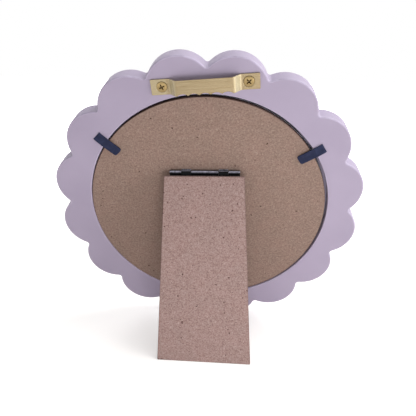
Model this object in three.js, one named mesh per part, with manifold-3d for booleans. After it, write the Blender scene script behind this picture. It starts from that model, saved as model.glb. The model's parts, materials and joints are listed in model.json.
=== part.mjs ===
// A round picture frame with a scalloped edge, standing on the easel leg at its back.
// The pieces are drawn as seen from behind: x to the right, y up, z towards the viewer,
// with the centre of the moulding's back face at the origin.
import * as THREE from "three";
import { mergeVertices } from "three/addons/utils/BufferGeometryUtils.js";
import Module from "manifold-3d";

// Driving dimensions, in millimetres and degrees
const fitGap = 0.3; // left between pieces that touch

const lobeCount = 16;
const lobeRadius = 20;
const lobeCentreRadius = 80;
const cuspFillet = 2; // rounds the groove between two lobes
const mouldingThickness = 12;
const mouldingEdge = 0.8; // rounding of the moulding's edges
const rebateRadius = 77.2; // step that takes the glazing, insert and backboard
const lipWidth = 6.2; // how far the front lip stands in from the rebate

const glazingClearance = 1.2; // rebate radius less the pane's radius
const glazingThickness = 2;
const insertClearance = 1.6;
const insertThickness = 0.5;
const boardClearance = 1.3;
const boardThickness = 3;
const boardEdge = 0.4; // worn edge of the bare board and leg
const boardRecess = 1; // the board's back lies this far below the moulding's back
const boardTurn = 1.25; // the board has turned a little in its rebate
const boardSlideAngle = 44; // and has settled down and this far to the left

const hangerLength = 61.5;
const hangerWidth = 9;
const hangerThickness = 0.8;
const hangerRise = 4.6; // height of the toothed middle above the ends
const hangerRaisedLength = 30.6;
const hangerRampLength = 5.6;
const hangerTilt = 4.8;
const hangerShift = 0.7; // the hanger is fixed a little left of the middle
const hangerAboveRebate = 5.5; // from the rebate's edge up to the hanger's middle
const hangerScrewPitch = 49;
const hangerScrewLength = 8;
const hangerScrewRadius = 1.5;
const hangerScrewHeadRadius = 3;
const gulletCount = 5;
const gulletPitch = 6.3;
const gulletDepth = 1.2;

const tabLength = 17;
const tabWidth = 6;
const tabThickness = 0.6;
const tabCornerRadius = 1.4;
const tabBeyondRebate = 6.2; // from the rebate's edge out to the tab's slot
const tabStakeDepth = 4;
const leftTabAngle = 143.7;
const leftTabSkew = -7;
const rightTabAngle = 32.5;
const rightTabSkew = 1.5;

const hingeHeight = 26.4; // hinge axis above the board's centre
const barrelRadius = 1.7;
const leafThickness = 0.8;
const leafWidth = 16;
const leafCornerRadius = 2;
const endKnuckleLength = 7.2;
const legKnuckleLength = 5.8;
const middleKnuckleLength = 16.9;
const stopLipReach = 0.6; // how far the lips that stop the leg stand out of the barrel
const hingeScrewSpacing = 24;
const hingeScrewDrop = 10; // from the hinge axis down the leaf
const hingeScrewRadius = 0.9;
const hingeScrewHeadRadius = 1.8;
const boardScrewLength = 2.6;
const legScrewLength = 4;

const legLength = 120;
const legTopWidth = 49.5;
const legFootWidth = 60.3;
const legThickness = 5;
const legTopDrop = 1.6; // from the hinge axis to the leg's upper end
const legOpenAngle = 26.5;

// Facets of the round forms
const lobeSteps = 12;
const filletSteps = 3;
const ringSteps = 96;
const smallSteps = 20;

const radians = THREE.MathUtils.degToRad;
const wasm = await Module();
wasm.setup();

// Helpers that make, join and cut closed shapes

// A closed geometry as a solid that can be joined and cut
function solid(geometry) {
  const bare = new THREE.BufferGeometry();
  bare.setAttribute("position", geometry.getAttribute("position"));
  bare.setIndex(geometry.index);
  const merged = mergeVertices(bare);
  return new wasm.Manifold(
    new wasm.Mesh({
      numProp: 3,
      vertProperties: merged.getAttribute("position").array,
      triVerts: new Uint32Array(merged.index.array),
    }),
  );
}

// The geometry of a joined or cut solid
function geometryOf(body) {
  const mesh = body.getMesh();
  const geometry = new THREE.BufferGeometry();
  geometry.setAttribute("position", new THREE.BufferAttribute(mesh.vertProperties, 3));
  geometry.setIndex(new THREE.BufferAttribute(mesh.triVerts, 1));
  return geometry;
}

// Points of a circular arc, both ends included
function arc(centreX, centreY, radius, from, to, steps) {
  return Array.from({ length: steps + 1 }, (_, i) => {
    const angle = from + ((to - from) * i) / steps;
    return new THREE.Vector2(centreX + radius * Math.cos(angle), centreY + radius * Math.sin(angle));
  });
}

// A rectangle centred on x that runs down from y = top, with its two lower corners rounded
function tongueShape(width, top, bottom, corner) {
  const half = width / 2;
  return new THREE.Shape([
    new THREE.Vector2(half, top),
    new THREE.Vector2(-half, top),
    ...arc(corner - half, bottom + corner, corner, Math.PI, 1.5 * Math.PI, smallSteps / 4),
    ...arc(half - corner, bottom + corner, corner, 1.5 * Math.PI, 2 * Math.PI, smallSteps / 4),
  ]);
}

// A flat plate between z = bottom and z = bottom + thickness
function plate(shape, bottom, thickness, edge = 0, edgeSteps = 1) {
  const geometry = new THREE.ExtrudeGeometry(shape, {
    depth: thickness - 2 * edge,
    bevelEnabled: edge > 0,
    bevelThickness: edge,
    bevelSize: edge,
    bevelOffset: -edge,
    bevelSegments: edgeSteps,
  });
  return geometry.translate(0, 0, bottom + edge);
}

// A revolved form about z; the profile's points are radius and height, from the axis and back
function revolve(profile, steps) {
  const points = profile.map(([radius, height]) => new THREE.Vector2(radius, height));
  return new THREE.LatheGeometry(points, steps).rotateX(Math.PI / 2);
}

// A round sheet with its two edges broken
function disc(radius, bottom, thickness, edge) {
  const top = bottom + thickness;
  const profile = [
    [0, bottom],
    [radius - edge, bottom],
    [radius, bottom + edge],
    [radius, top - edge],
    [radius - edge, top],
    [0, top],
  ];
  return revolve(profile, ringSteps);
}

// The outline of a bent strip of sheet metal, half its thickness to each side of its middle line
function stripShape(middle, thickness) {
  const side = (sign) =>
    middle.map((point, i) => {
      const before = middle[Math.max(i - 1, 0)];
      const after = middle[Math.min(i + 1, middle.length - 1)];
      const along = after.clone().sub(before).normalize();
      return new THREE.Vector2(-along.y, along.x).multiplyScalar((sign * thickness) / 2).add(point);
    });
  return new THREE.Shape([...side(-1), ...side(1).reverse()]);
}

// An x-z outline carried along y, centred on y = 0
function acrossPlate(shape, width) {
  const geometry = new THREE.ExtrudeGeometry(shape, { depth: width, bevelEnabled: false });
  return geometry.translate(0, 0, -width / 2).rotateX(Math.PI / 2);
}

// A countersunk screw pointing to -z, with the rim of its head at z = 0; gap widens it into its hole
function screwProfile(headRadius, shankRadius, length, gap = 0) {
  const tip = 1.5 * shankRadius;
  const dome = 0.12 * headRadius;
  const crown = gap > 0 ? [[headRadius + gap, headRadius]] : [[0.6 * headRadius, 0.7 * dome]];
  return [
    [0, -length - gap],
    [shankRadius + gap, tip - length - gap],
    [shankRadius + gap, shankRadius - headRadius],
    [headRadius + gap, 0],
    ...crown,
    [0, gap > 0 ? headRadius : dome],
  ];
}

function screw(headRadius, shankRadius, length, gap) {
  return revolve(screwProfile(headRadius, shankRadius, length, gap), smallSteps);
}

// Materials
const satinPaint = { color: 0xb3a6bd, roughness: 0.55, metalness: 0 };
const clearGlass = { color: 0xe4ecec, roughness: 0.05, metalness: 0, transparent: true, opacity: 0.3 };
const whiteCard = { color: 0xf1efe9, roughness: 0.9, metalness: 0 };
const bareBoard = { color: 0x958272, roughness: 0.85, metalness: 0 };
const bareLeg = { color: 0xa48b7e, roughness: 0.85, metalness: 0 };
const brass = { color: 0xc8b37c, roughness: 0.35, metalness: 1 };
const darkLacquer = { color: 0x1d2740, roughness: 0.4, metalness: 0.2 };
const blackPaint = { color: 0x17191f, roughness: 0.4, metalness: 0.3 };
const plainSteel = { color: 0x8b8d90, roughness: 0.4, metalness: 1 };

// Puts a named piece into a group
function addPiece(group, name, geometry, finish) {
  const mesh = new THREE.Mesh(geometry, new THREE.MeshStandardMaterial({ flatShading: true, ...finish }));
  mesh.name = name;
  group.add(mesh);
  return mesh;
}

// Heights of the layers in the rebate, from the board's back face down to the front lip
const boardTop = -boardRecess;
const insertTop = boardTop - boardThickness - fitGap;
const glazingTop = insertTop - insertThickness - fitGap;
const lipTop = glazingTop - glazingThickness - fitGap;
const sightRadius = rebateRadius - lipWidth;

// The hinge axis lies above the board by the barrel and the gap under its leaf
const hingeAxisHeight = boardTop + fitGap + barrelRadius;
const boardSlide = boardClearance - fitGap; // the board rests against the rebate's wall
const boardDrop = boardSlide * Math.cos(radians(boardSlideAngle));
const legInnerFace = barrelRadius + fitGap; // above the hinge axis, when folded

// How far the frame leans back once the open leg's foot is on the ground
const lobeStep = (2 * Math.PI) / lobeCount;
const openAngle = radians(legOpenAngle);
const legReach = legTopDrop + legLength;
const legOuterFace = legInnerFace + legThickness;
const footY = hingeHeight - boardDrop - legReach * Math.cos(openAngle) + legOuterFace * Math.sin(openAngle);
const footZ = hingeAxisHeight + legReach * Math.sin(openAngle) + legOuterFace * Math.cos(openAngle);
const lobeBottomY = -lobeCentreRadius * Math.cos(lobeStep / 2) - lobeRadius;
const leanAngle = Math.atan2(footY - lobeBottomY, footZ + mouldingEdge);

// Groups: the frame tipped back, the drawing turned to face +Y, the board turned in its rebate,
// and the leg swung out about the hinge axis
const part = new THREE.Group();
const tipped = new THREE.Group();
tipped.rotation.x = -leanAngle;
const drawing = new THREE.Group();
drawing.rotation.set(Math.PI / 2, 0, Math.PI, "ZYX");
const boardGroup = new THREE.Group();
boardGroup.position.set(-boardSlide * Math.sin(radians(boardSlideAngle)), -boardDrop, 0);
boardGroup.rotation.z = radians(boardTurn);
const hingeGroup = new THREE.Group();
hingeGroup.position.set(0, hingeHeight, hingeAxisHeight);
const legGroup = new THREE.Group();
legGroup.rotation.x = -openAngle;
part.add(tipped);
tipped.add(drawing);
drawing.add(boardGroup);
boardGroup.add(hingeGroup);
hingeGroup.add(legGroup);

// Scalloped outline: lobes on a circle, with a fillet in each groove between two of them
function scallopShape() {
  const halfPitch = lobeCentreRadius * Math.sin(lobeStep / 2);
  const grooveLine = lobeCentreRadius * Math.cos(lobeStep / 2);
  const filletRise = Math.sqrt((lobeRadius + cuspFillet) ** 2 - halfPitch ** 2);
  const filletCentreRadius = grooveLine + filletRise;
  const lobeTurn = lobeStep / 2 + Math.atan2(halfPitch, filletRise);
  const points = [];
  for (let i = 0; i < lobeCount; i++) {
    const lobe = Math.PI / 2 + (i + 0.5) * lobeStep;
    const groove = lobe + lobeStep / 2;
    const lobeX = lobeCentreRadius * Math.cos(lobe);
    const lobeY = lobeCentreRadius * Math.sin(lobe);
    const grooveX = filletCentreRadius * Math.cos(groove);
    const grooveY = filletCentreRadius * Math.sin(groove);
    const inward = groove + Math.PI;
    const filletTurn = lobeTurn - lobeStep / 2;
    points.push(...arc(lobeX, lobeY, lobeRadius, lobe - lobeTurn, lobe + lobeTurn, lobeSteps));
    const fillet = arc(grooveX, grooveY, cuspFillet, inward + filletTurn, inward - filletTurn, filletSteps);
    points.push(...fillet.slice(1, -1));
  }
  return new THREE.Shape(points);
}

// The stepped opening: rebate from behind, lip, and a sight opening with a broken front edge
function openingCutter() {
  const front = -mouldingThickness;
  const beyond = mouldingThickness;
  const profile = [
    [0, front - beyond],
    [sightRadius + mouldingEdge + beyond, front - beyond],
    [sightRadius, front + mouldingEdge],
    [sightRadius, lipTop],
    [rebateRadius, lipTop],
    [rebateRadius, beyond],
    [0, beyond],
  ];
  return solid(revolve(profile, ringSteps));
}

// Hanger: a bent brass strip with a toothed lower edge, and its two screws
const hangerGroup = new THREE.Group();
hangerGroup.position.set(-hangerShift, rebateRadius + hangerAboveRebate, 0);
hangerGroup.rotation.z = radians(hangerTilt);
drawing.add(hangerGroup);
const hangerScrewSides = { left: -1, right: 1 };
const hangerTop = fitGap + hangerThickness;

function hangerMiddleLine() {
  const endHeight = fitGap + hangerThickness / 2;
  const rampSteps = 6;
  const ramp = Array.from({ length: rampSteps + 1 }, (_, i) => {
    const share = i / rampSteps;
    const x = -hangerRaisedLength / 2 - hangerRampLength * (1 - share);
    return new THREE.Vector2(x, endHeight + (hangerRise * (1 - Math.cos(Math.PI * share))) / 2);
  });
  const left = [new THREE.Vector2(-hangerLength / 2, endHeight), ...ramp];
  const right = left.map((point) => new THREE.Vector2(-point.x, point.y)).reverse();
  return [...left, ...right];
}

function hangerScrewGeometry(side, gap) {
  const geometry = screw(hangerScrewHeadRadius, hangerScrewRadius, hangerScrewLength, gap);
  return geometry.translate((side * hangerScrewPitch) / 2, 0, hangerTop);
}

function hangerSolid() {
  let strip = solid(acrossPlate(stripShape(hangerMiddleLine(), hangerThickness), hangerWidth));
  const gulletRadius = ((gulletPitch / 2) ** 2 + gulletDepth ** 2) / (2 * gulletDepth);
  const cutterHeight = 4 * (hangerRise + hangerThickness);
  for (let i = 0; i < gulletCount; i++) {
    const x = (i - (gulletCount - 1) / 2) * gulletPitch;
    const cutter = new THREE.CylinderGeometry(gulletRadius, gulletRadius, cutterHeight, 2 * smallSteps);
    cutter.rotateX(Math.PI / 2).translate(x, gulletDepth - gulletRadius - hangerWidth / 2, 0);
    strip = strip.subtract(solid(cutter));
  }
  for (const side of Object.values(hangerScrewSides)) {
    strip = strip.subtract(solid(hangerScrewGeometry(side, fitGap)));
  }
  return strip;
}

addPiece(hangerGroup, "sawtooth_hanger", geometryOf(hangerSolid()), brass);
for (const [name, side] of Object.entries(hangerScrewSides)) {
  addPiece(hangerGroup, `hanger_screw_${name}`, hangerScrewGeometry(side, 0), brass);
}

// Retaining tabs: a stake driven into the moulding, and a blade that bends down onto the board
const tabs = {
  left: { angle: radians(leftTabAngle), skew: radians(leftTabSkew) },
  right: { angle: radians(rightTabAngle), skew: radians(rightTabSkew) },
};
const tabRootRadius = rebateRadius + tabBeyondRebate;

for (const tab of Object.values(tabs)) {
  tab.group = new THREE.Group();
  tab.group.position.set(tabRootRadius * Math.cos(tab.angle), tabRootRadius * Math.sin(tab.angle), 0);
  tab.group.rotation.z = tab.angle + Math.PI + tab.skew;
  drawing.add(tab.group);
}

function tabBlade() {
  const level = fitGap + tabThickness / 2;
  const middle = [
    new THREE.Vector2(0, level),
    new THREE.Vector2(tabBeyondRebate, level),
    new THREE.Vector2(tabLength, boardTop + level),
  ];
  const bent = solid(acrossPlate(stripShape(middle, tabThickness), tabWidth));
  const outline = tongueShape(tabWidth, 1, -tabLength, tabCornerRadius);
  const tall = boardRecess + tabThickness + fitGap;
  const outlineCutter = plate(outline, -2 * tall, 4 * tall).rotateZ(Math.PI / 2);
  return bent.intersect(solid(outlineCutter));
}

function tabStake(gap) {
  const depth = tabStakeDepth + gap;
  const above = gap > 0 ? mouldingThickness : 0;
  const stake = new THREE.BoxGeometry(tabThickness + 2 * gap, tabWidth + 2 * gap, depth + above);
  return stake.translate(tabThickness / 2, 0, (above - depth) / 2);
}

for (const [name, tab] of Object.entries(tabs)) {
  addPiece(tab.group, `retaining_tab_${name}`, geometryOf(tabBlade()), darkLacquer);
  addPiece(tab.group, `tab_stake_${name}`, tabStake(0), darkLacquer);
}

// Moulding: the scalloped slab, less the opening, the tab slots and the screw holes
function mouldingSolid() {
  const slab = plate(scallopShape(), -mouldingThickness, mouldingThickness, mouldingEdge, 2);
  let body = solid(slab).subtract(openingCutter());
  for (const tab of Object.values(tabs)) {
    tab.group.updateMatrix();
    body = body.subtract(solid(tabStake(fitGap).applyMatrix4(tab.group.matrix)));
  }
  hangerGroup.updateMatrix();
  for (const side of Object.values(hangerScrewSides)) {
    const hole = hangerScrewGeometry(side, fitGap).applyMatrix4(hangerGroup.matrix);
    body = body.subtract(solid(hole));
  }
  return body;
}

const moulding = addPiece(drawing, "frame_moulding", geometryOf(mouldingSolid()), satinPaint);

// Glazing and insert rest on the bottom of the rebate
const glazing = disc(rebateRadius - glazingClearance, glazingTop - glazingThickness, glazingThickness, 0.2);
addPiece(drawing, "glazing", glazing.translate(0, fitGap - glazingClearance, 0), clearGlass);
const insert = disc(rebateRadius - insertClearance, insertTop - insertThickness, insertThickness, 0.05);
addPiece(drawing, "photo_insert", insert.translate(0, fitGap - insertClearance, 0), whiteCard);

// Hinge: two leaves whose knuckles are curled round one pin; side -1 lies on the board, 1 on the leg
const boreRadius = barrelRadius - leafThickness;
const legKnuckleCentre = (middleKnuckleLength + legKnuckleLength) / 2 + fitGap;
const endKnuckleCentre = legKnuckleCentre + (legKnuckleLength + endKnuckleLength) / 2 + fitGap;
const barrelLength = 2 * endKnuckleCentre + endKnuckleLength;
const leafStart = barrelRadius + fitGap; // clears the other leaf's knuckles
const hingeScrewSides = { left: -1, right: 1 };

// A shape of distance below the axis and height above it, carried along the barrel
function alongBarrel(shape, length, centre) {
  const geometry = new THREE.ExtrudeGeometry(shape, { depth: length, bevelEnabled: false });
  const turn = new THREE.Matrix4().makeBasis(
    new THREE.Vector3(0, -1, 0),
    new THREE.Vector3(0, 0, 1),
    new THREE.Vector3(-1, 0, 0),
  );
  return geometry.translate(0, 0, -length / 2).applyMatrix4(turn).translate(centre, 0, 0);
}

function knuckle(side, length, centre) {
  const tail = leafStart + leafThickness;
  const start = -Math.asin(boreRadius / barrelRadius);
  const curl = arc(0, 0, barrelRadius, start, 1.5 * Math.PI, smallSteps);
  const points = [new THREE.Vector2(tail, -boreRadius), ...curl, new THREE.Vector2(tail, -barrelRadius)];
  const shape = new THREE.Shape(points.map((point) => new THREE.Vector2(point.x, -side * point.y)));
  shape.holes.push(new THREE.Path(arc(0, 0, boreRadius, 0, 2 * Math.PI, smallSteps).slice(1)));
  return solid(alongBarrel(shape, length, centre));
}

function hingeScrew(side, place, length, gap) {
  const geometry = screw(hingeScrewHeadRadius, hingeScrewRadius, length, gap);
  geometry.translate((place * hingeScrewSpacing) / 2, -hingeScrewDrop, 0);
  if (side > 0) geometry.rotateY(Math.PI);
  return geometry.translate(0, 0, side * boreRadius);
}

function leaf(side, knuckles, screwLength) {
  const outline = tongueShape(barrelLength, -leafStart, -leafWidth, leafCornerRadius);
  const bottom = side > 0 ? boreRadius : -barrelRadius;
  let body = solid(plate(outline, bottom, leafThickness));
  for (const [centre, length] of knuckles) {
    body = body.add(knuckle(side, length, centre));
  }
  for (const place of Object.values(hingeScrewSides)) {
    body = body.subtract(solid(hingeScrew(side, place, screwLength, fitGap)));
  }
  return body;
}

// The lip along a leg knuckle, whose lower corner comes down to the board when the leg is open
function stopLip(centre, length) {
  const half = leafThickness / 2;
  const tip = barrelRadius + stopLipReach;
  const root = boreRadius + half;
  const lip = new THREE.BoxGeometry(length, tip - root, leafThickness);
  const openDip = Math.asin(barrelRadius / Math.hypot(tip, half)) - Math.atan2(half, tip);
  return solid(lip.translate(centre, (tip + root) / 2, 0).rotateX(openAngle - openDip));
}

const legKnuckles = [-1, 1].map((end) => [end * legKnuckleCentre, legKnuckleLength]);
const endKnuckles = [-1, 1].map((end) => [end * endKnuckleCentre, endKnuckleLength]);
const boardKnuckles = [...endKnuckles, [0, middleKnuckleLength]];
const boardLeaf = leaf(-1, boardKnuckles, boardScrewLength);
let legLeaf = leaf(1, legKnuckles, legScrewLength);
for (const [centre, length] of legKnuckles) {
  legLeaf = legLeaf.add(stopLip(centre, length));
}
addPiece(hingeGroup, "hinge_leaf_board", geometryOf(boardLeaf), blackPaint);
addPiece(legGroup, "hinge_leaf_leg", geometryOf(legLeaf), blackPaint);

const pinRadius = boreRadius - fitGap;
const pin = new THREE.CylinderGeometry(pinRadius, pinRadius, barrelLength, smallSteps).rotateZ(Math.PI / 2);
addPiece(hingeGroup, "hinge_pin", pin, plainSteel);
for (const [name, place] of Object.entries(hingeScrewSides)) {
  const boardScrew = hingeScrew(-1, place, boardScrewLength, 0);
  const legScrew = hingeScrew(1, -place, legScrewLength, 0);
  addPiece(hingeGroup, `hinge_screw_board_${name}`, boardScrew, plainSteel);
  addPiece(legGroup, `hinge_screw_leg_${name}`, legScrew, plainSteel);
}

// Backboard, drilled for the screws of its hinge leaf
function backboardSolid() {
  let body = solid(disc(rebateRadius - boardClearance, boardTop - boardThickness, boardThickness, boardEdge));
  for (const place of Object.values(hingeScrewSides)) {
    const hole = hingeScrew(-1, place, boardScrewLength, fitGap);
    body = body.subtract(solid(hole.translate(0, hingeHeight, hingeAxisHeight)));
  }
  return body;
}

addPiece(boardGroup, "backboard", geometryOf(backboardSolid()), bareBoard);

// Stands the frame on the ground, with the middle of its footprint at the origin
part.updateMatrixWorld(true);
const mouldingBox = new THREE.Box3().setFromObject(moulding, true);
const groundHeight = mouldingBox.min.z;

// Easel leg: a tapered panel, drilled for its hinge leaf and trimmed level with the ground
function legSolid() {
  const trim = legThickness;
  const footHalf = legFootWidth / 2;
  const topHalf = legTopWidth / 2;
  const flare = ((footHalf - topHalf) * trim) / legLength;
  const outline = new THREE.Shape([
    new THREE.Vector2(-topHalf, -legTopDrop),
    new THREE.Vector2(-footHalf - flare, -legReach - trim),
    new THREE.Vector2(footHalf + flare, -legReach - trim),
    new THREE.Vector2(topHalf, -legTopDrop),
  ]);
  let body = solid(plate(outline, legInnerFace, legThickness, boardEdge));
  for (const place of Object.values(hingeScrewSides)) {
    body = body.subtract(solid(hingeScrew(1, place, legScrewLength, fitGap)));
  }
  const block = new THREE.BoxGeometry(4 * legReach, 4 * legReach, legReach);
  block.translate(0, 0, groundHeight - legReach / 2);
  const toLeg = legGroup.matrixWorld.clone().invert();
  return body.subtract(solid(block.applyMatrix4(toLeg)));
}

addPiece(legGroup, "easel_leg", geometryOf(legSolid()), bareLeg);

const wholeBox = new THREE.Box3().setFromObject(part, true);
const middle = wholeBox.getCenter(new THREE.Vector3());
tipped.position.set(-middle.x, -middle.y, -groundHeight);

export default part;
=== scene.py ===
"""Looks of a scalloped round picture frame that stands on its easel leg, seen from behind.

Each piece is drawn in millimetres, in the axes of the sub-assembly that carries it. A Placement worked
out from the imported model's joints and nodes carries the drawing into the shared frame, in metres.
Left and right are as seen from behind.
"""

import json
import logging
import math
from abc import ABC, abstractmethod
from collections.abc import Iterator
from dataclasses import dataclass, replace
from enum import Enum
from functools import cache
from itertools import cycle

import bpy
import numpy as np
from mathutils import Matrix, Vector
from numpy.typing import NDArray


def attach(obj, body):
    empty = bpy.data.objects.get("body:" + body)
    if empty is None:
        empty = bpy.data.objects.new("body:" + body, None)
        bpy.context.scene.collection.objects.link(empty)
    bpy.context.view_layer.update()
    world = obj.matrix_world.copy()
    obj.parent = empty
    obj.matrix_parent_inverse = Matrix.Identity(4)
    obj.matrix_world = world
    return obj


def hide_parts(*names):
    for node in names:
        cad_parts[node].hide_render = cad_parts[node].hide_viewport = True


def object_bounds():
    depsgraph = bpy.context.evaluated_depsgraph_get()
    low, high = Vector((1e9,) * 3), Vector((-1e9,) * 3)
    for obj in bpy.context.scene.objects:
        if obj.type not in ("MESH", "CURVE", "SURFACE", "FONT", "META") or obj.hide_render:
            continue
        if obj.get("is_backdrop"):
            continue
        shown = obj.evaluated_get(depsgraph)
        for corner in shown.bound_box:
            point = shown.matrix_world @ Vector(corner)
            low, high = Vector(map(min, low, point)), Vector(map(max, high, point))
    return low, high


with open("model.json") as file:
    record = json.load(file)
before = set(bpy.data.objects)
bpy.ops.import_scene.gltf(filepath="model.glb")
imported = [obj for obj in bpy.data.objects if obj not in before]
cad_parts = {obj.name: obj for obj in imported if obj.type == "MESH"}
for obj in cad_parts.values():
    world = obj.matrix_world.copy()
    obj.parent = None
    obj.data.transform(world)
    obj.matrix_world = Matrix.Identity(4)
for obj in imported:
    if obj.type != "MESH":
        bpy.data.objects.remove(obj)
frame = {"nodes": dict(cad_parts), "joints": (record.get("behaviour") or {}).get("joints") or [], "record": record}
CAD_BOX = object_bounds()

Points = NDArray[np.float64]
Numbers = NDArray[np.int64]
Colour = tuple[int, int, int]
Piece = bpy.types.Object
Socket = bpy.types.NodeSocket

MILLIMETRE = 0.001
SHARP_ANGLE = 42.0  # degrees between faces from which an edge is drawn sharp
CORNER_STEPS = 6  # segments of a rounded corner in a flat outline
EDGE_STEPS = 4  # segments of a rounded edge of sheet metal
NEARLY_UPRIGHT = 0.99  # upward share of a direction from which it counts as upright
LOG = logging.getLogger("picture_frame")


class Axis(Enum):
    """An axis of a placement, by its row in the table of axes."""

    X = 0
    Y = 1
    Z = 2


class Side(Enum):
    """Left or right of the frame, by the sign of x in the drawing."""

    LEFT = -1
    RIGHT = 1

    @property
    def word(self) -> str:
        """The side's word in the names of pieces and nodes."""
        return self.name.lower()


class Ends(Enum):
    """How the first and the last ring of a loft are closed."""

    CAPPED = "each by a fan to its middle"
    JOINED = "to each other"


# Numbers and outlines


def unit(vectors: Points) -> Points:
    """Vectors along the last axis, each divided by its length."""
    return vectors / np.linalg.norm(vectors, axis=-1, keepdims=True)


def smooth_step(low: float, high: float, values: Points) -> Points:
    """0 up to low, 1 from high on, and the cubic 3s² - 2s³ between them."""
    share = np.clip((values - low) / (high - low), 0.0, 1.0)
    return share * share * (3.0 - 2.0 * share)


def turn(degrees: Points | float) -> Points:
    """Unit vectors (cos a, sin a) at the given angles."""
    angle = np.radians(degrees)
    return np.stack([np.cos(angle), np.sin(angle)], axis=-1)


def quarter_drop(distance: Points, radius: float) -> Points:
    """Drop r - √(r² - (r - d)²) of a quarter-round edge at a distance d in from its end, 0 past r."""
    short = np.clip(radius - distance, 0.0, radius)
    return radius - np.sqrt(radius**2 - short**2)


def bisected(corners: Points) -> tuple[Points, Points, Points]:
    """Directions of the two sides at each corner of an outline, and half the angle between them.

    Args:
        corners: Corner points, shaped (..., corners, 2).

    Returns:
        Unit vectors to the corner before and to the one after, and the half angle from their dot product.
    """
    before = unit(np.roll(corners, 1, axis=-2) - corners)
    after = unit(np.roll(corners, -1, axis=-2) - corners)
    half = np.arccos(np.clip((before * after).sum(-1, keepdims=True), -1.0, 1.0)) / 2
    return before, after, half


def rounded(corners: Points, radii: Points | float, steps: int, support: float = 0.06) -> Points:
    """Closed outlines with every corner rounded.

    A circle that touches both sides of a corner replaces it, so the arc's centre lies on the corner's
    bisector at r / sin(half the corner's angle). The arc is a blend of its two end directions by
    sines. One more point on each side of the arc keeps the flat beside it flat under smooth shading.

    Args:
        corners: Corner points, shaped (..., corners, 2).
        radii: Radius of each corner, or of all.
        steps: Segments of each arc.
        support: Distance of the added points from the ends of the arc.

    Returns:
        Outline points, shaped (..., corners * (steps + 3), 2).
    """
    size = np.broadcast_to(radii, corners.shape[-2])[:, None]
    before, after, half = bisected(corners)
    touch = size / np.tan(half)
    centre = corners + unit(before + after) * size / np.sin(half)
    share = np.linspace(0.0, 1.0, steps + 1)[:, None]
    sweep = (np.pi - 2 * half)[..., None, :]
    start = (corners + before * touch - centre)[..., None, :]
    stop = (corners + after * touch - centre)[..., None, :]
    bend = (np.sin((1 - share) * sweep) * start + np.sin(share * sweep) * stop) / np.sin(sweep)
    lead = (corners + before * (touch + support))[..., None, :]
    trail = (corners + after * (touch + support))[..., None, :]
    points = np.concatenate([lead, centre[..., None, :] + bend, trail], axis=-2)
    return points.reshape(*corners.shape[:-2], -1, 2)


def rectangle(left: float, right: float, low: float, high: float) -> Points:
    """Corners of a rectangle, from the upper right one anticlockwise."""
    return np.array([[right, high], [left, high], [left, low], [right, low]])


def rounded_wear(corner_count: int, steps: int) -> Points:
    """1 on the arcs of a rounded outline and 0 on the added points beside them."""
    return np.tile(np.concatenate([[0.0], np.ones(steps + 1), [0.0]]), corner_count)


def inset(corners: Points, distance: Points) -> Points:
    """A convex outline moved inwards: each corner by distance / sin(half its angle) along its bisector."""
    before, after, half = bisected(corners)
    return corners + unit(before + after) * np.asarray(distance)[..., None, None] / np.sin(half)


# Surfaces


@dataclass(frozen=True)
class Placement:
    """An origin in metres, and three axes, by which a drawing in millimetres is placed."""

    origin: Points
    axes: Points

    def to_world(self, points: Points) -> Points:
        """Places drawn points in the shared frame, in metres."""
        return self.origin + MILLIMETRE * points @ self.axes

    def to_drawing(self, points: Points) -> Points:
        """Reads points of the shared frame in the drawing, in millimetres."""
        return (points - self.origin) @ self.axes.T / MILLIMETRE

    def moved(self, x: float = 0.0, y: float = 0.0, z: float = 0.0) -> "Placement":
        """The same axes with the origin moved along them, in millimetres."""
        return Placement(self.to_world(np.array([x, y, z])), self.axes)

    def turned(self, axis: Axis, degrees: float) -> "Placement":
        """The same origin with the axes turned about one of them, right-handed.

        Args:
            axis: Axis that stays.
            degrees: Angle of the turn.

        Returns:
            The turned placement.
        """
        first, second = (axis.value + 1) % 3, (axis.value + 2) % 3
        cosine, sine = math.cos(math.radians(degrees)), math.sin(math.radians(degrees))
        axes = self.axes.copy()
        axes[first] = cosine * self.axes[first] + sine * self.axes[second]
        axes[second] = cosine * self.axes[second] - sine * self.axes[first]
        return Placement(self.origin, axes)

    def extent(self, node: str) -> tuple[Points, Points]:
        """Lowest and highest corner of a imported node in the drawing, in millimetres."""
        points = self.to_drawing(node_points(node))
        return points.min(axis=0), points.max(axis=0)


@dataclass(frozen=True)
class Shell:
    """A closed surface: its points in millimetres, its faces by point number, and a mask of wear and painted
    light.
    """

    points: Points
    quads: Numbers
    fans: Numbers
    wear: Points


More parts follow.
